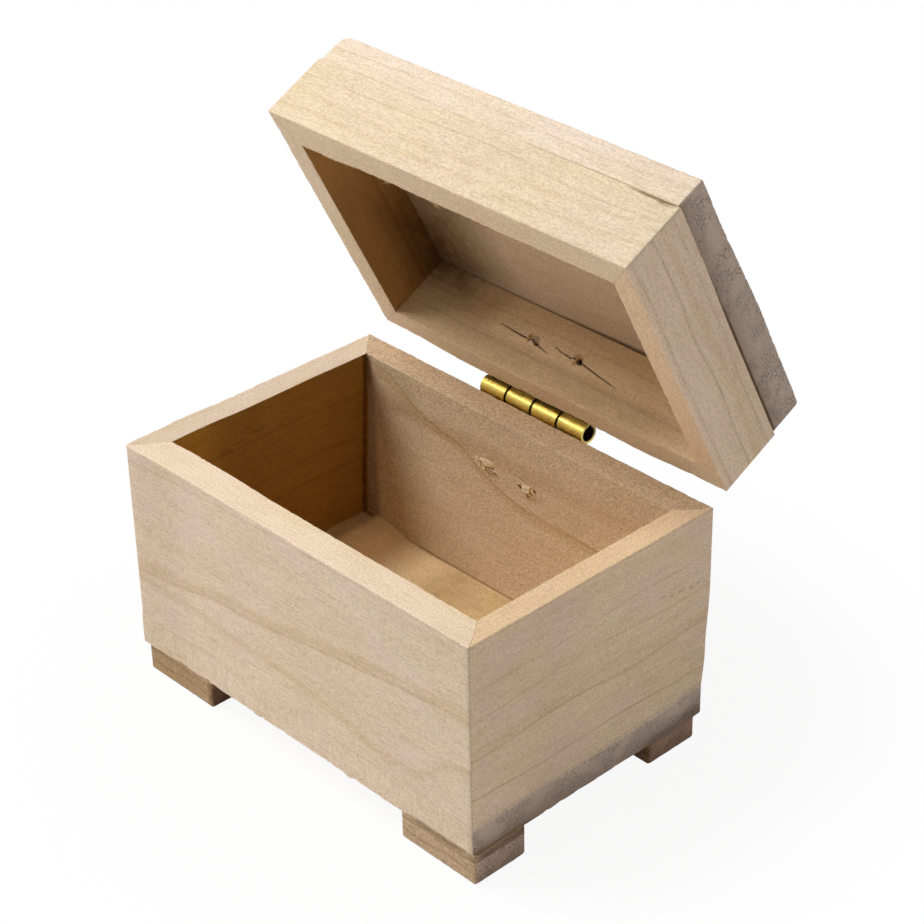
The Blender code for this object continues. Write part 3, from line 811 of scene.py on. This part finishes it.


# Skew, and grime with painted shade, in millimetres in each body's own axes

BOX_LEANS = (
    Lean((-40.3, -14, 28), (9, 24, 50), (-0.25, 0, 0)),
    Lean((-40.3, -35.7, 28), (10, 22, 60), (-0.45, -0.2, 0)),
    Lean((-40.3, -35.7, 28), (5, 5, 60), (-0.1, -0.15, 0)),
    Lean((0, -25.9, 44.2), (90, 9.8, 70), (0, 0.8, 0)),
    Lean((-34, -25.9, 44.2), (24, 9.8, 70), (0, 0.3, 0)),
    Lean((-35.4, 2, -22), (5, 30, 66), (-1.6, 0, 0)),
    Lean((34.8, -8, 44.2), (4.8, 40, 10), (0.6, 0, 0)),
    Lean((0, 12.2, 44.2), (50, 4.8, 10), (0, -0.45, 0)),
    Lean((-2, 7.3, 10.9), (36, 9.8, 4.6), (0, 0, -1.4)),
    Lean((-2, -9, 10.9), (36, 16, 4.6), (0, 0, -1.2)),
    Lean((-35, 8.5, 10.9), (8, 8.4, 4.6), (0, 0, 0.7)),
    Lean((39.7, 17.1, 6), (8, 8, 24), (-0.3, -0.3, 0)),
    Lean((39.7, 17.1, 3), (8, 8, 14), (-0.25, -0.25, 0)),
    Lean((39.7, 13, 5.8), (7, 9, 2.6), (0, 0, -0.8)),
    Lean((-6, -35.7, 5.8), (52, 24, 2.8), (0, 0, -0.7)),
    Lean((39.7, -8, 5.8), (12, 34, 2.8), (0, 0, -0.5)),
)
LID_LEANS = (
    Lean((3, -4.25, 1.3), (36, 9, 9), (0, 0, -0.6)),
    Lean((82, -1.85, 8), (74, 14, 40), (0, 0.9, 0)),
    Lean((0, -44.8, 1.3), (90, 9.8, 20), (0, 0.95, 0)),
    Lean((-34, -44.8, 1.3), (16, 9.8, 20), (0, 0.6, 0)),
    Lean((41, -12, 14), (4, 30, 3), (0, 0, -0.2)),
)
TOP_LEANS = LID_LEANS + (
    Lean((40, 2, 21), (46, 50, 9.3), (0, 0, 0.8)),
    Lean((40.3, -4, 17), (6, 34, 12), (0.1, 0, 0)),
)
# Painted shade, with a little grime: the inner corners, the shaded left wall, the joints along the box floor, the
# feet's faces under the bottom board and the edges above them; one patch darkens the lit part of the box floor
BOX_GRIME_AND_SHADE = (
    Grime((-36.4, 11.5, 26), (2.6, 0.74, 60), 1),
    Grime((-36.2, -6, 24), (3, 20, 60), 0.5),
    Grime((-36.2, 8, 24), (3, 9, 60), 0.55),
    Grime((-33, 12.3, 42), (14, 1.2, 20), 0.16),
    Grime((-6, 12.3, 9.6), (34, 0.5, 0.5), 0.4),
    Grime((-2, 4, 9), (18, 13.1, 1), 0.62),
    Grime((-40, -35.7, 26), (16, 1, 60), 0.09),
    Grime((39.7, -32, 26), (1, 26, 60), 0.09),
    Grime((39.7, -32, 8.3), (1.2, 22, 5), 0.16),
    Grime((-23.2, -31, 1.6), (1.2, 7, 4), 0.75),
    Grime((22.2, -31, 1.6), (0.9, 7, 4), 0.8),
    Grime((31, 4.2, 1.6), (9, 1.2, 4), 0.9),
    Grime((32, -35.6, 5.2), (8, 0.8, 0.8), 0.5),
    Grime((39.6, -29, 5), (1.2, 9, 0.8), 0.8),
    Grime((39, 10, 5.4), (1.4, 9, 1.6), 0.5),
)
# Painted shade, with a little grime: the lid's inner back left corner, its left and back rails inside, and the
# gaps between the top board and the rails
LID_GRIME_AND_SHADE = (
    *corner_shade((-37, -1.95, 19.9), (27, -40, -20), 1),
    Grime((-32.5, -22, 8), (1.6, 20, 11.9), 0.3),
    Grime((-24, -6.6, 8), (13, 1.4, 11.9), 0.3),
    Grime((2, -6.6, 2.6), (37, 1.2, 4.4), 0.42),
    Grime((0, -6.6, 14.2), (40, 0.5, 0.5), 0.4),
    Grime((2, -54.5, 14.05), (90, 0.7, 0.3), 0.22),
    Grime((38, -54.5, 14.05), (40, 0.7, 0.3), 0.5),
    Grime((41, -12, 14.1), (1.5, 28, 0.6), 0.95),
    Grime((40.3, -20, 17), (1, 34, 12), 0.1),
)
BOX = Body("box", BOX_PIVOT, BOX_LEANS, BOX_GRIME_AND_SHADE)
LID = Body("lid", LID_PIVOT, LID_LEANS, LID_GRIME_AND_SHADE)


# Marks of single boards, in their own millimetres: the nails split the back boards as they break out

BACK_WALL_MARKS = Marks(
    spans=(((33, 49.6, 0.13),), (), ((20.8, 24.8, 0.12),)),
    dents=(
        Dent((46.6, 4.9, 23.6), (2.2, 1, 0.8), (0, 0.4, 0), 0),
        Dent((45.4, 4.9, 22.5), (1.8, 1, 0.6), (0, 0.35, 0), 0.12),
        Dent((35.7, 4.9, 22.4), (1.7, 1, 1.1), (0, 0.4, 0), 0),
        Dent((34.4, 4.9, 22.9), (0.8, 0.8, 0.5), (0, -0.35, 0), 0.75),
        Dent((35.4, 4.9, 21.6), (0.7, 0.8, 0.4), (0, -0.35, 0), 0.6),
    ),
    cracks=(
        Crack(0.4, 0.5, ((48, 23.3), (46.4, 23.2), (45, 23))),
        Crack(0.28, 0.3, ((46.2, 22.7), (45, 22.5), (44, 22.6))),
        Crack(0.22, 0.4, ((39.6, 24.4), (37.6, 24), (36, 23.7))),
        Crack(0.8, 0.7, ((38.3, 22.6), (37.6, 22.3), (36.9, 22.1))),
    ),
    splinters=(
        Splinter((48.4, 23.9), (46.8, 24), 0.5, 0.45),
        Splinter((47.4, 24), (45.7, 23.7), 0.5, 0.55),
        Splinter((46.6, 22.9), (45, 23.5), 0.45, 0.55),
        Splinter((46.9, 22.5), (45.4, 22.1), 0.45, 0.4),
        Splinter((45.3, 23.3), (43.8, 22.9), 0.4, 0.45, 0.1),
        Splinter((45, 22.3), (43.8, 22.6), 0.28, 0.35),
        Splinter((47.6, 23.1), (47.2, 22.3), 0.3, 0.3),
        Splinter((36, 23.3), (35.3, 21.6), 0.7, 0.6),
        Splinter((36.4, 23.2), (37.2, 22.2), 0.4, 0.45),
        Splinter((35.4, 23), (33.7, 22.4), 0.5, 0.45),
        Splinter((35.2, 23.3), (34, 23.6), 0.34, 0.35, 0.45),
        Splinter((35.8, 22.4), (34.2, 21.6), 0.5, 0.45),
        Splinter((36.7, 22.4), (36.2, 20.9), 0.5, 0.45),
        Splinter((36.3, 22.2), (36.9, 21.2), 0.3, 0.35, 0.35),
        Splinter((35, 22.4), (34.6, 23.8), 0.28, 0.35, 0.1),
    ),
)
RIGHT_WALL_MARKS = Marks(
    spans=(((38, 52.5, 0.3),), (), ((20, 22.2, 0.1),)),
    dents=(
        Dent((41.6, 0, 21.9), (0.9, 0.8, 0.16), (0, 0.12, 0), 0.3),
        Dent((43.6, 0, 21.3), (0.7, 0.8, 0.17), (0, 0.12, 0), 0.4),
        Dent((45.9, 0, 21.2), (1.3, 0.8, 0.15), (0, 0.12, 0), 0.3),
        Dent((48.3, 0, 20.6), (0.9, 0.8, 0.18), (0, 0.12, 0), 0.45),
        Dent((49.8, 0, 20.7), (0.6, 0.8, 0.15), (0, 0.12, 0), 0.3),
        Dent((51.3, 0, 20.3), (0.8, 0.8, 0.17), (0, 0.12, 0), 0.4),
    ),
)
LEFT_WALL_MARKS = Marks(
    spans=(((22, 43, 0.3),), (), ((25.6, 30.2, 0.16),)),
    dents=(
        Dent((39.5, 4.9, 26.4), (3, 0.8, 0.45), (0, -0.16, 0), 0.3),
        Dent((35.5, 4.9, 27.4), (2.2, 0.8, 0.35), (0, -0.16, 0), 0.3),
        Dent((30.5, 4.9, 28.2), (3.2, 0.8, 0.4), (0, -0.16, 0), 0.3),
        Dent((33, 4.9, 29.6), (1.6, 0.8, 0.3), (0, -0.12, 0), 0.25),
        Dent((24, 4.9, 27.2), (1.8, 0.8, 0.25), (0, -0.12, 0), 0.2),
    ),
)
LID_BACK_MARKS = Marks(
    spans=(((23.6, 56.4, 0.14),), (), ((5.2, 8.4, 0.11),)),
    dents=(
        Dent((46.5, 4.8, 6.8), (1.1, 1.2, 0.8), (0, 0.7, 0), 0.5),
        Dent((45.6, 4.8, 6.5), (0.8, 1, 0.4), (0, -0.6, 0), 1),
        Dent((35.6, 4.8, 7), (1.1, 1.2, 0.8), (0, 0.7, 0), 0.35),
        Dent((34.6, 4.8, 6.7), (0.8, 1, 0.45), (0, -0.6, 0), 1),
    ),
    cracks=(
        Crack(0.3, 0.4, ((56, 7), (52, 6.8), (48.9, 6.7), (46.5, 6.6), (44, 6.2), (41.4, 5.8))),
        Crack(0.3, 0.4, ((41.9, 7.4), (39.6, 7), (36.9, 6.8), (33.4, 6.7), (29.6, 6.2), (24, 5.6))),
    ),
    splinters=(
        Splinter((47.2, 7), (46.5, 7.5), 0.6, 0.5, 0.3),
        Splinter((46.9, 6.4), (46.1, 7.1), 0.7, 0.7, 0.1),
        Splinter((46.2, 7.1), (45.5, 6.8), 0.6, 0.5, 0.35),
        Splinter((46.7, 6.9), (46.4, 7.3), 0.65, 0.85),
        Splinter((36.4, 7.2), (35.8, 7.7), 0.6, 0.5, 0.15),
        Splinter((36, 6.5), (35.4, 7.2), 0.7, 0.7, 0.1),
        Splinter((35.3, 7.3), (34.7, 7), 0.6, 0.5, 0.35),
        Splinter((36.1, 7.2), (35.8, 6.8), 0.7, 0.9),
        Splinter((35.6, 6.1), (36.6, 6.3), 0.3, 0.3, 0.2),
    ),
)
LID_FRONT_MARKS = Marks(
    spans=(((66, 77.6, 0.25),), (), ((10.6, 12.5, 0.15),)),
    dents=(
        Dent((75.8, 0, 12.3), (2, 1, 0.7), (0, 0.4, 0), 0.4),
        Dent((73.4, 0, 12.4), (6, 0.8, 0.35), (0, 0.35, 0), 0.6),
    ),
    splinters=fuzz(4, 60, 0.8, 0.28, 2) + (
        Splinter((25.2, 0.3), (23.6, 0.1), 0.3, 1.2),
        Splinter((24.9, 0.2), (25.4, 0.1), 0.25, 0.7),
        Splinter((34, 0.3), (37, 0.1), 0.3, 0.9),
        Splinter((35.2, 0.2), (36.6, 0), 0.22, 1.3),
        Splinter((10.2, 0.3), (11.9, 0.1), 0.25, 0.5),
    ),
)
BOTTOM_MARKS = Marks(
    spans=(((27.4, 30.6, 0.25), (50, 53, 0.25)), (), ()),
    dents=(
        Dent((29, 0.3, 0), (1.3, 0.8, 1.2), (0, 0, -0.4), 0.1),
        Dent((51.5, 0.3, 0), (1.2, 0.8, 1.2), (0, 0, -0.4), 0.1),
    ),
)


# Sizes and colours that a user would change

def colour_setting(name, description, default):
    return FloatVectorProperty(
        name=name, description=description, default=default, subtype="COLOR", size=3, min=0, max=1
    )


def share_setting(name, description, default):
    return FloatProperty(
        name=name, description=description, default=default, subtype="FACTOR", min=0, max=1
    )


def length_setting(name, description, default, most):
    return FloatProperty(
        name=name, description=description, default=default, unit="LENGTH", min=0, max=most, precision=6
    )


def power_setting(name, description, default):
    return FloatProperty(
        name=name, description=description, default=default, unit="POWER", min=0, max=100
    )


def place_setting(name, description, default):
    return FloatVectorProperty(
        name=name, description=description, default=default, subtype="TRANSLATION", size=3
    )


class ChestWoodTones(bpy.types.PropertyGroup):
    pale: colour_setting("Pale wood", "Fresh early wood", (0.84, 0.672, 0.485))
    bright: colour_setting("Bright fibres", "Raised fibres and specks", (0.95, 0.80, 0.60))
    late: colour_setting("Late wood", "Growth lines and dark flecks", (0.52, 0.34, 0.17))
    pink: colour_setting("Pink cast", "Tint of the pinker patches", (1.0, 0.985, 1.0))
    yellow: colour_setting("Yellow cast", "Tint of the yellower patches", (1.0, 0.995, 0.95))
    honey: colour_setting("Honey bands", "Wide soft yellow-brown bands", (0.70, 0.50, 0.27))
    # Colour of the grime and painted shade in corners and gaps
    grime: colour_setting("Grime", "What grime in the corners leaves of the colour", (0.26, 0.18, 0.08))
    end_pale: colour_setting("End grain", "Sawn end grain", (0.66, 0.51, 0.41))
    end_dark: colour_setting("End grain pits", "Open tubes in the end grain", (0.39, 0.275, 0.21))
    # Colour of the torn wood and painted shade inside cracks and holes
    split: colour_setting("Split", "Inside of cracks and torn holes", (0.11, 0.05, 0.012))
    ring_pitch: length_setting("Ring pitch", "From one growth ring to the next", 4.6 * MM, 20 * MM)
    ring_contrast: share_setting("Ring contrast", "How dark the growth rings are", 0.09)
    fibre_contrast: share_setting("Fibre contrast", "How strongly the fibres differ", 0.2)
    fleck_contrast: share_setting("Fleck contrast", "How strong the short flecks are", 0.14)
    grit_contrast: share_setting("Grit contrast", "How strongly the finest grain differs", 0.15)
    bump_height: length_setting("Fibre height", "How far raw fibres stand up", 0.07 * MM, 1 * MM)


class ChestWear(bpy.types.PropertyGroup):
    edge_round: length_setting("Edge rounding", "Usual rounding of a sanded edge", 0.2 * MM, 1 * MM)
    edge_wobble: share_setting("Edge wobble", "How unevenly the edges are sanded", 0.9)
    nick_size: length_setting("Nicks", "Size of the small chips along the edges", 0.5 * MM, 2 * MM)
    relief: length_setting("Relief", "Height of the faces' slow waves", 0.05 * MM, 0.5 * MM)
    mitre_gap: length_setting("Mitre gap", "Gap in each board's half of a mitre", 0.001 * MM, 0.5 * MM)
    corner_round: length_setting("Corner rounding", "Rounding of the upright corners", 0.4 * MM, 2 * MM)


class ChestMetal(bpy.types.PropertyGroup):
    brass: colour_setting("Brass", "Bare rolled brass", (0.72, 0.52, 0.12))
    nail: colour_setting("Nails", "Dulled brass of the nails", (0.45, 0.34, 0.12))
    pin: colour_setting("Pin", "Dark drawn wire of the pin", (0.07, 0.05, 0.03))
    tarnish: colour_setting("Tarnish", "Olive and brown tarnish", (0.16, 0.105, 0.018))
    # Colour of the grease and painted shade in the barrel's seams and hollow
    grime: colour_setting("Grime", "Old grease inside the rolled barrel", (0.03, 0.02, 0.01))
    bore: length_setting("Bore", "Inner radius of the rolled barrel", 1.27 * MM, 5 * MM)
    scratch_depth: length_setting("Scratches", "Depth of the drawn lines", 0.03 * MM, 0.2 * MM)


class ChestStage(bpy.types.PropertyGroup):
    key_power: power_setting("Key light", "Power of the large soft lamp", 5.3)
    key_size: length_setting("Key size", "Width of the soft lamp", 0.42, 5)
    key_place: place_setting("Key place", "Where the soft lamp hangs", (-0.38, -0.27, 0.68))
    fill_power: power_setting("Fill light", "Power of the low weak lamp", 0.24)
    fill_size: length_setting("Fill size", "Width of the low lamp", 0.3, 5)
    fill_place: place_setting("Fill place", "Where the low lamp stands", (0.45, 0.02, 0.06))
    surround: share_setting("Surround", "Light from all sides", 0.21)
    floor_shade: share_setting("Floor shade", "How much light the floor returns", 0.9)
    floor_glow: share_setting(
        "Floor whiteness", "How far the floor is lifted to white by the chest", 0.92
    )
    far_glow: share_setting(
        "Far whiteness", "How far the floor is lifted to white away from the chest", 0.995
    )
    shadow_reach: length_setting("Shadow reach", "Where the floor's shadow has faded", 0.09, 1)


# Operators

BOX_WALLS = ("front_wall", "right_wall", "back_wall", "left_wall")
LID_RAILS = ("lid_front_rail", "lid_right_rail", "lid_back_rail", "lid_left_rail")
FEET = ("front_left_foot", "front_right_foot", "rear_left_foot", "rear_right_foot")
SEAM = 0.005
MITRE_RADII = {
    ("x0", "y0"): SEAM, ("x0", "y1"): SEAM, ("x1", "y0"): SEAM, ("x1", "y1"): SEAM,
    ("x0", "z0"): SEAM, ("x1", "z0"): SEAM, ("x0", "z1"): 0.02, ("x1", "z1"): 0.02,
}
WALL_RADII = MITRE_RADII | {
    ("y0", "z0"): SEAM, ("y1", "z0"): 0.03, ("y0", "z1"): 0.3, ("y1", "z1"): 0.14,
}
RAIL_RADII = MITRE_RADII | {("y0", "z1"): 0.1, ("y1", "z1"): 0.05, ("y1", "z0"): 0.12}
BOTTOM_RADII = {
    ("x0", "z1"): SEAM, ("x1", "z1"): 0.03, ("y0", "z1"): SEAM, ("y1", "z1"): SEAM,
    ("x0", "y0"): SEAM, ("x1", "y0"): SEAM, ("x0", "y1"): SEAM, ("x1", "y1"): SEAM,
}
TOP_RADII = {("y0", "z0"): 0.09, ("x1", "z0"): 0.08, ("x0", "y0"): SEAM}
FOOT_RADII = {("x0", "z1"): 0.15, ("x1", "z1"): 0.3, ("y0", "z1"): 0.2}
BOARD_PITCH = (0.5, 0.5, 0.5)


def mitred_frame(nodes, body, looks, marks, radii, corners, back_torn_look):
    """The frame's four boards, with the slivers that stand off them.

    The corners are the roundings of the upright corners, from the front left one anticlockwise
    as seen from above.
    """
    torn_looks = (NAIL_LOOK, NAIL_LOOK, back_torn_look, NAIL_LOOK)
    for quarter, node in enumerate(nodes):
        board = frame_board(nodes, quarter, body)
        ends = {("x0", "y0"): corners[quarter], ("x1", "y0"): corners[(quarter + 1) % 4]}
        shape = Shape(BOARD_PITCH, radii, ends, marks[quarter], mitred=True)
        piece = worn_board("worn_" + node, board, looks[quarter], shape)
        if marks[quarter].splinters:
            splinters(node + "_splinters", board, marks[quarter].splinters, torn_looks[quarter])


class CHEST_OT_box_walls(bpy.types.Operator):
    """Rebuilds the chest's four mitred walls, with the split wood round the nail tips"""

    bl_idname = "chest.box_walls"
    bl_label = "Chest walls"

    def execute(self, context):
        corner = context.scene.chest_wear.corner_round / MM
        looks = (FRONT_LOOK, RIGHT_LOOK, BACK_LOOK, LEFT_LOOK)
        marks = (Marks(), RIGHT_WALL_MARKS, BACK_WALL_MARKS, LEFT_WALL_MARKS)
        corners = (2 * corner, corner, corner, corner)
        mitred_frame(BOX_WALLS, BOX, looks, marks, WALL_RADII, corners, NAIL_LOOK)
        return {"FINISHED"}


class CHEST_OT_bottom_and_feet(bpy.types.Operator):
    """Rebuilds the bottom board and the four feet with their sawn faces"""

    bl_idname = "chest.bottom_and_feet"
    bl_label = "Bottom and feet"

    def execute(self, context):
        corner = context.scene.chest_wear.corner_round / MM
        corners = {
            ("x1", "y1"): 0.6, ("x0", "y0"): corner, ("x1", "y0"): corner, ("x0", "y1"): corner,
        }
        board = flat_board("bottom_board", BOX, 0.04, -0.02)
        shape = Shape((0.5, 0.5, 0.35), BOTTOM_RADII, corners, BOTTOM_MARKS, rough=0.08)
        piece = worn_board("worn_bottom_board", board, BOTTOM_LOOK, shape)
        corners = {
            ("x0", "z0"): 0.8, ("x1", "z0"): 0.7, ("x0", "y0"): 0.6, ("x1", "y0"): 0.6,
            ("x1", "y1"): 0.5, ("y0", "z0"): 0.4, ("y1", "z0"): 0.6,
        }
        shape = Shape((0.4, 0.4, 0.3), FOOT_RADII, corners, rough=0.12)
        for index, (node, look) in enumerate(zip(FEET, FOOT_LOOKS)):
            board = flat_board(node, BOX, 0.0, 0.03)._replace(leans=())
            piece = worn_board("worn_" + node, board, look, shape)
        return {"FINISHED"}


class CHEST_OT_lid_boards(bpy.types.Operator):
    """Rebuilds the lid's four mitred rails and its top board, with their split wood"""

    bl_idname = "chest.lid_boards"
    bl_label = "Lid boards"

    def execute(self, context):
        corner = context.scene.chest_wear.corner_round / MM
        looks = (LID_FRONT_LOOK, LID_RIGHT_LOOK, LID_BACK_LOOK, LID_LEFT_LOOK)
        marks = (LID_FRONT_MARKS, Marks(), LID_BACK_MARKS, Marks())
        mitred_frame(LID_RAILS, LID, looks, marks, RAIL_RADII, (corner,) * 4, PLUG_LOOK)
        board = flat_board("lid_top_board", LID)._replace(leans=TOP_LEANS)
        corners = {
            ("x0", "z1"): 1.9, ("x1", "y0"): corner, ("x0", "y1"): corner, ("x1", "y1"): corner,
        }
        shape = Shape((0.5, 0.5, 0.35), TOP_RADII, corners, rough=0.05)
        piece = worn_board("worn_lid_top_board", board, TOP_LOOK, shape)
        return {"FINISHED"}


class CHEST_OT_hinge_and_nails(bpy.types.Operator):
    """Gives the hinge leaves, the pin and the nails their tarnished metal"""

    bl_idname = "chest.hinge_and_nails"
    bl_label = "Hinge and nails"

    def execute(self, context):
        metal = context.scene.chest_metal
        finishes = {
            "hinge_brass": brass("rolled_brass", metal.brass, 0.5, 0.22),
            "nail_metal": brass("nail_brass", metal.nail, 0.6, 0.4),
            "pin_steel": brass("pin_metal", metal.pin, 0.2, 0.5),
        }
        for row in frame["record"]["subparts"]:
            finish = finishes.get(row["material_slot"])
            if finish:
                node = frame["nodes"][row["node"]]
                node.data.materials.clear()
                node.data.materials.append(finish)
        return {"FINISHED"}


class CHEST_OT_stage(bpy.types.Operator):
    """Lays the pale floor and hangs the soft studio light"""

    bl_idname = "chest.stage"
    bl_label = "Stage"

    def execute(self, context):
        stage = context.scene.chest_stage
        self.lay_floor(stage)
        self.hang_lamp("soft_key", stage.key_place, stage.key_size, stage.key_power)
        self.hang_lamp("low_fill", stage.fill_place, stage.fill_size, stage.fill_power)
        self.set_surround(context.scene, stage)
        context.scene.view_settings.view_transform = "Standard"
        return {"FINISHED"}

    def lay_floor(self, stage):
        mesh = bpy.data.meshes.new("floor")
        shape = bmesh.new()
        bmesh.ops.create_grid(shape, x_segments=4, y_segments=4, size=4)
        shape.to_mesh(mesh)
        shape.free()
        floor = bpy.data.objects.new("floor", mesh)
        bpy.context.scene.collection.objects.link(floor)
        recipe = Recipe(bpy.data.materials.new("pale_floor"))
        shade = stage.floor_shade
        recipe.shader.inputs["Base Color"].default_value = (shade, shade, shade, 1)
        recipe.shader.inputs["Roughness"].default_value = 1.0
        recipe.shader.inputs["Specular IOR Level"].default_value = 0.0
        glow = recipe.add("ShaderNodeEmission", {"Color": (1, 1, 1, 1), "Strength": 1.0})
        coords = recipe.add("ShaderNodeTexCoord", {}).outputs
        away = recipe.add("ShaderNodeVectorMath", {0: coords["Object"]}, operation="LENGTH")
        reach = stage.shadow_reach
        lift = recipe.step(away.outputs["Value"], reach / 2, reach, stage.floor_glow, stage.far_glow)
        seen = recipe.times(seen_directly(recipe), lift)
        mix = recipe.add(
            "ShaderNodeMixShader", {0: seen, 1: recipe.shader.outputs[0], 2: glow.outputs[0]}
        )
        output = recipe.tree.nodes["Material Output"]
        recipe.tree.links.new(mix.outputs[0], output.inputs["Surface"])
        mesh.materials.append(recipe.material)

    def hang_lamp(self, name, place, size, power):
        lamp = bpy.data.lights.new(name, "AREA")
        lamp.shape = "DISK"
        lamp.size = size
        lamp.energy = power
        obj = bpy.data.objects.new(name, lamp)
        bpy.context.scene.collection.objects.link(obj)
        obj.location = place
        middle = (CAD_BOX[0] + CAD_BOX[1]) / 2
        obj.rotation_euler = (middle - obj.location).to_track_quat("-Z", "Y").to_euler()

    def set_surround(self, scene, stage):
        world = bpy.data.worlds.new("studio")
        recipe = Recipe(world)
        scene.world = world
        background = recipe.tree.nodes["Background"]
        background.inputs["Color"].default_value = (1, 1, 1, 1)
        strength = recipe.step(seen_directly(recipe), 0.0, 1.0, stage.surround, 1.0)
        recipe.feed(background.inputs["Strength"], strength)


# The photograph's camera, in millimetres from the walls' front left top corner
CAMERA_TURN = math.radians(46.951)
CAMERA_LIFT = math.radians(31.607)
CAMERA_ROLL = math.radians(-1.181)
CAMERA_FROM_BOX_CORNER = (301.5, -207.47, 218.195)
FOCAL_PIXELS = 2601.593
PHOTO_PIXELS = 924
SENSOR_WIDTH = 36


class CHEST_OT_camera(bpy.types.Operator):
    """Places the camera at the photograph's view"""

    bl_idname = "chest.camera"
    bl_label = "Camera"

    def execute(self, context):
        camera = bpy.data.cameras.new("photo_view")
        camera.sensor_width = SENSOR_WIDTH
        camera.lens = FOCAL_PIXELS / PHOTO_PIXELS * SENSOR_WIDTH
        obj = bpy.data.objects.new("photo_view", camera)
        context.scene.collection.objects.link(obj)
        corner = Vector((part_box("left_wall")[0].x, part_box("front_wall")[0].y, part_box("front_wall")[1].z))
        place = corner + Vector(CAMERA_FROM_BOX_CORNER) * MM
        turn = Matrix.Rotation(CAMERA_TURN, 4, "Z")
        tip = Matrix.Rotation(math.pi / 2 - CAMERA_LIFT, 4, "X")
        roll = Matrix.Rotation(CAMERA_ROLL, 4, "Z")
        obj.matrix_world = Matrix.Translation(place) @ turn @ tip @ roll
        context.scene.camera = obj
        return {"FINISHED"}


OPERATORS = (
    CHEST_OT_camera,
    CHEST_OT_box_walls,
    CHEST_OT_bottom_and_feet,
    CHEST_OT_lid_boards,
    CHEST_OT_hinge_and_nails,
    CHEST_OT_stage,
)


SETTINGS = {
    "chest_wood": ChestWoodTones,
    "chest_wear": ChestWear,
    "chest_metal": ChestMetal,
    "chest_stage": ChestStage,
}


class CHEST_PT_sidebar(bpy.types.Panel):
    """Lists the chest's building steps and settings"""

    bl_label = "Raw-wood chest"
    bl_idname = "CHEST_PT_sidebar"
    bl_space_type = "VIEW_3D"
    bl_region_type = "UI"
    bl_category = "Chest"

    def draw(self, context):
        for operator in OPERATORS:
            self.layout.operator(operator.bl_idname)
        for name in SETTINGS:
            settings = getattr(context.scene, name)
            box = self.layout.box()
            for key in settings.bl_rna.properties.keys():
                if key not in ("rna_type", "name"):
                    box.prop(settings, key)


def register():
    for group in SETTINGS.values():
        bpy.utils.register_class(group)
    for name, group in SETTINGS.items():
        setattr(bpy.types.Scene, name, PointerProperty(type=group))
    for operator in OPERATORS:
        bpy.utils.register_class(operator)
    bpy.utils.register_class(CHEST_PT_sidebar)


def unregister():
    bpy.utils.unregister_class(CHEST_PT_sidebar)
    for operator in reversed(OPERATORS):
        bpy.utils.unregister_class(operator)
    for name, group in SETTINGS.items():
        delattr(bpy.types.Scene, name)
        bpy.utils.unregister_class(group)


def main():
    register()
    bpy.ops.chest.camera()
    bpy.ops.chest.box_walls()
    bpy.ops.chest.bottom_and_feet()
    bpy.ops.chest.lid_boards()
    bpy.ops.chest.hinge_and_nails()
    bpy.ops.chest.stage()


if __name__ == "__main__":
    main()
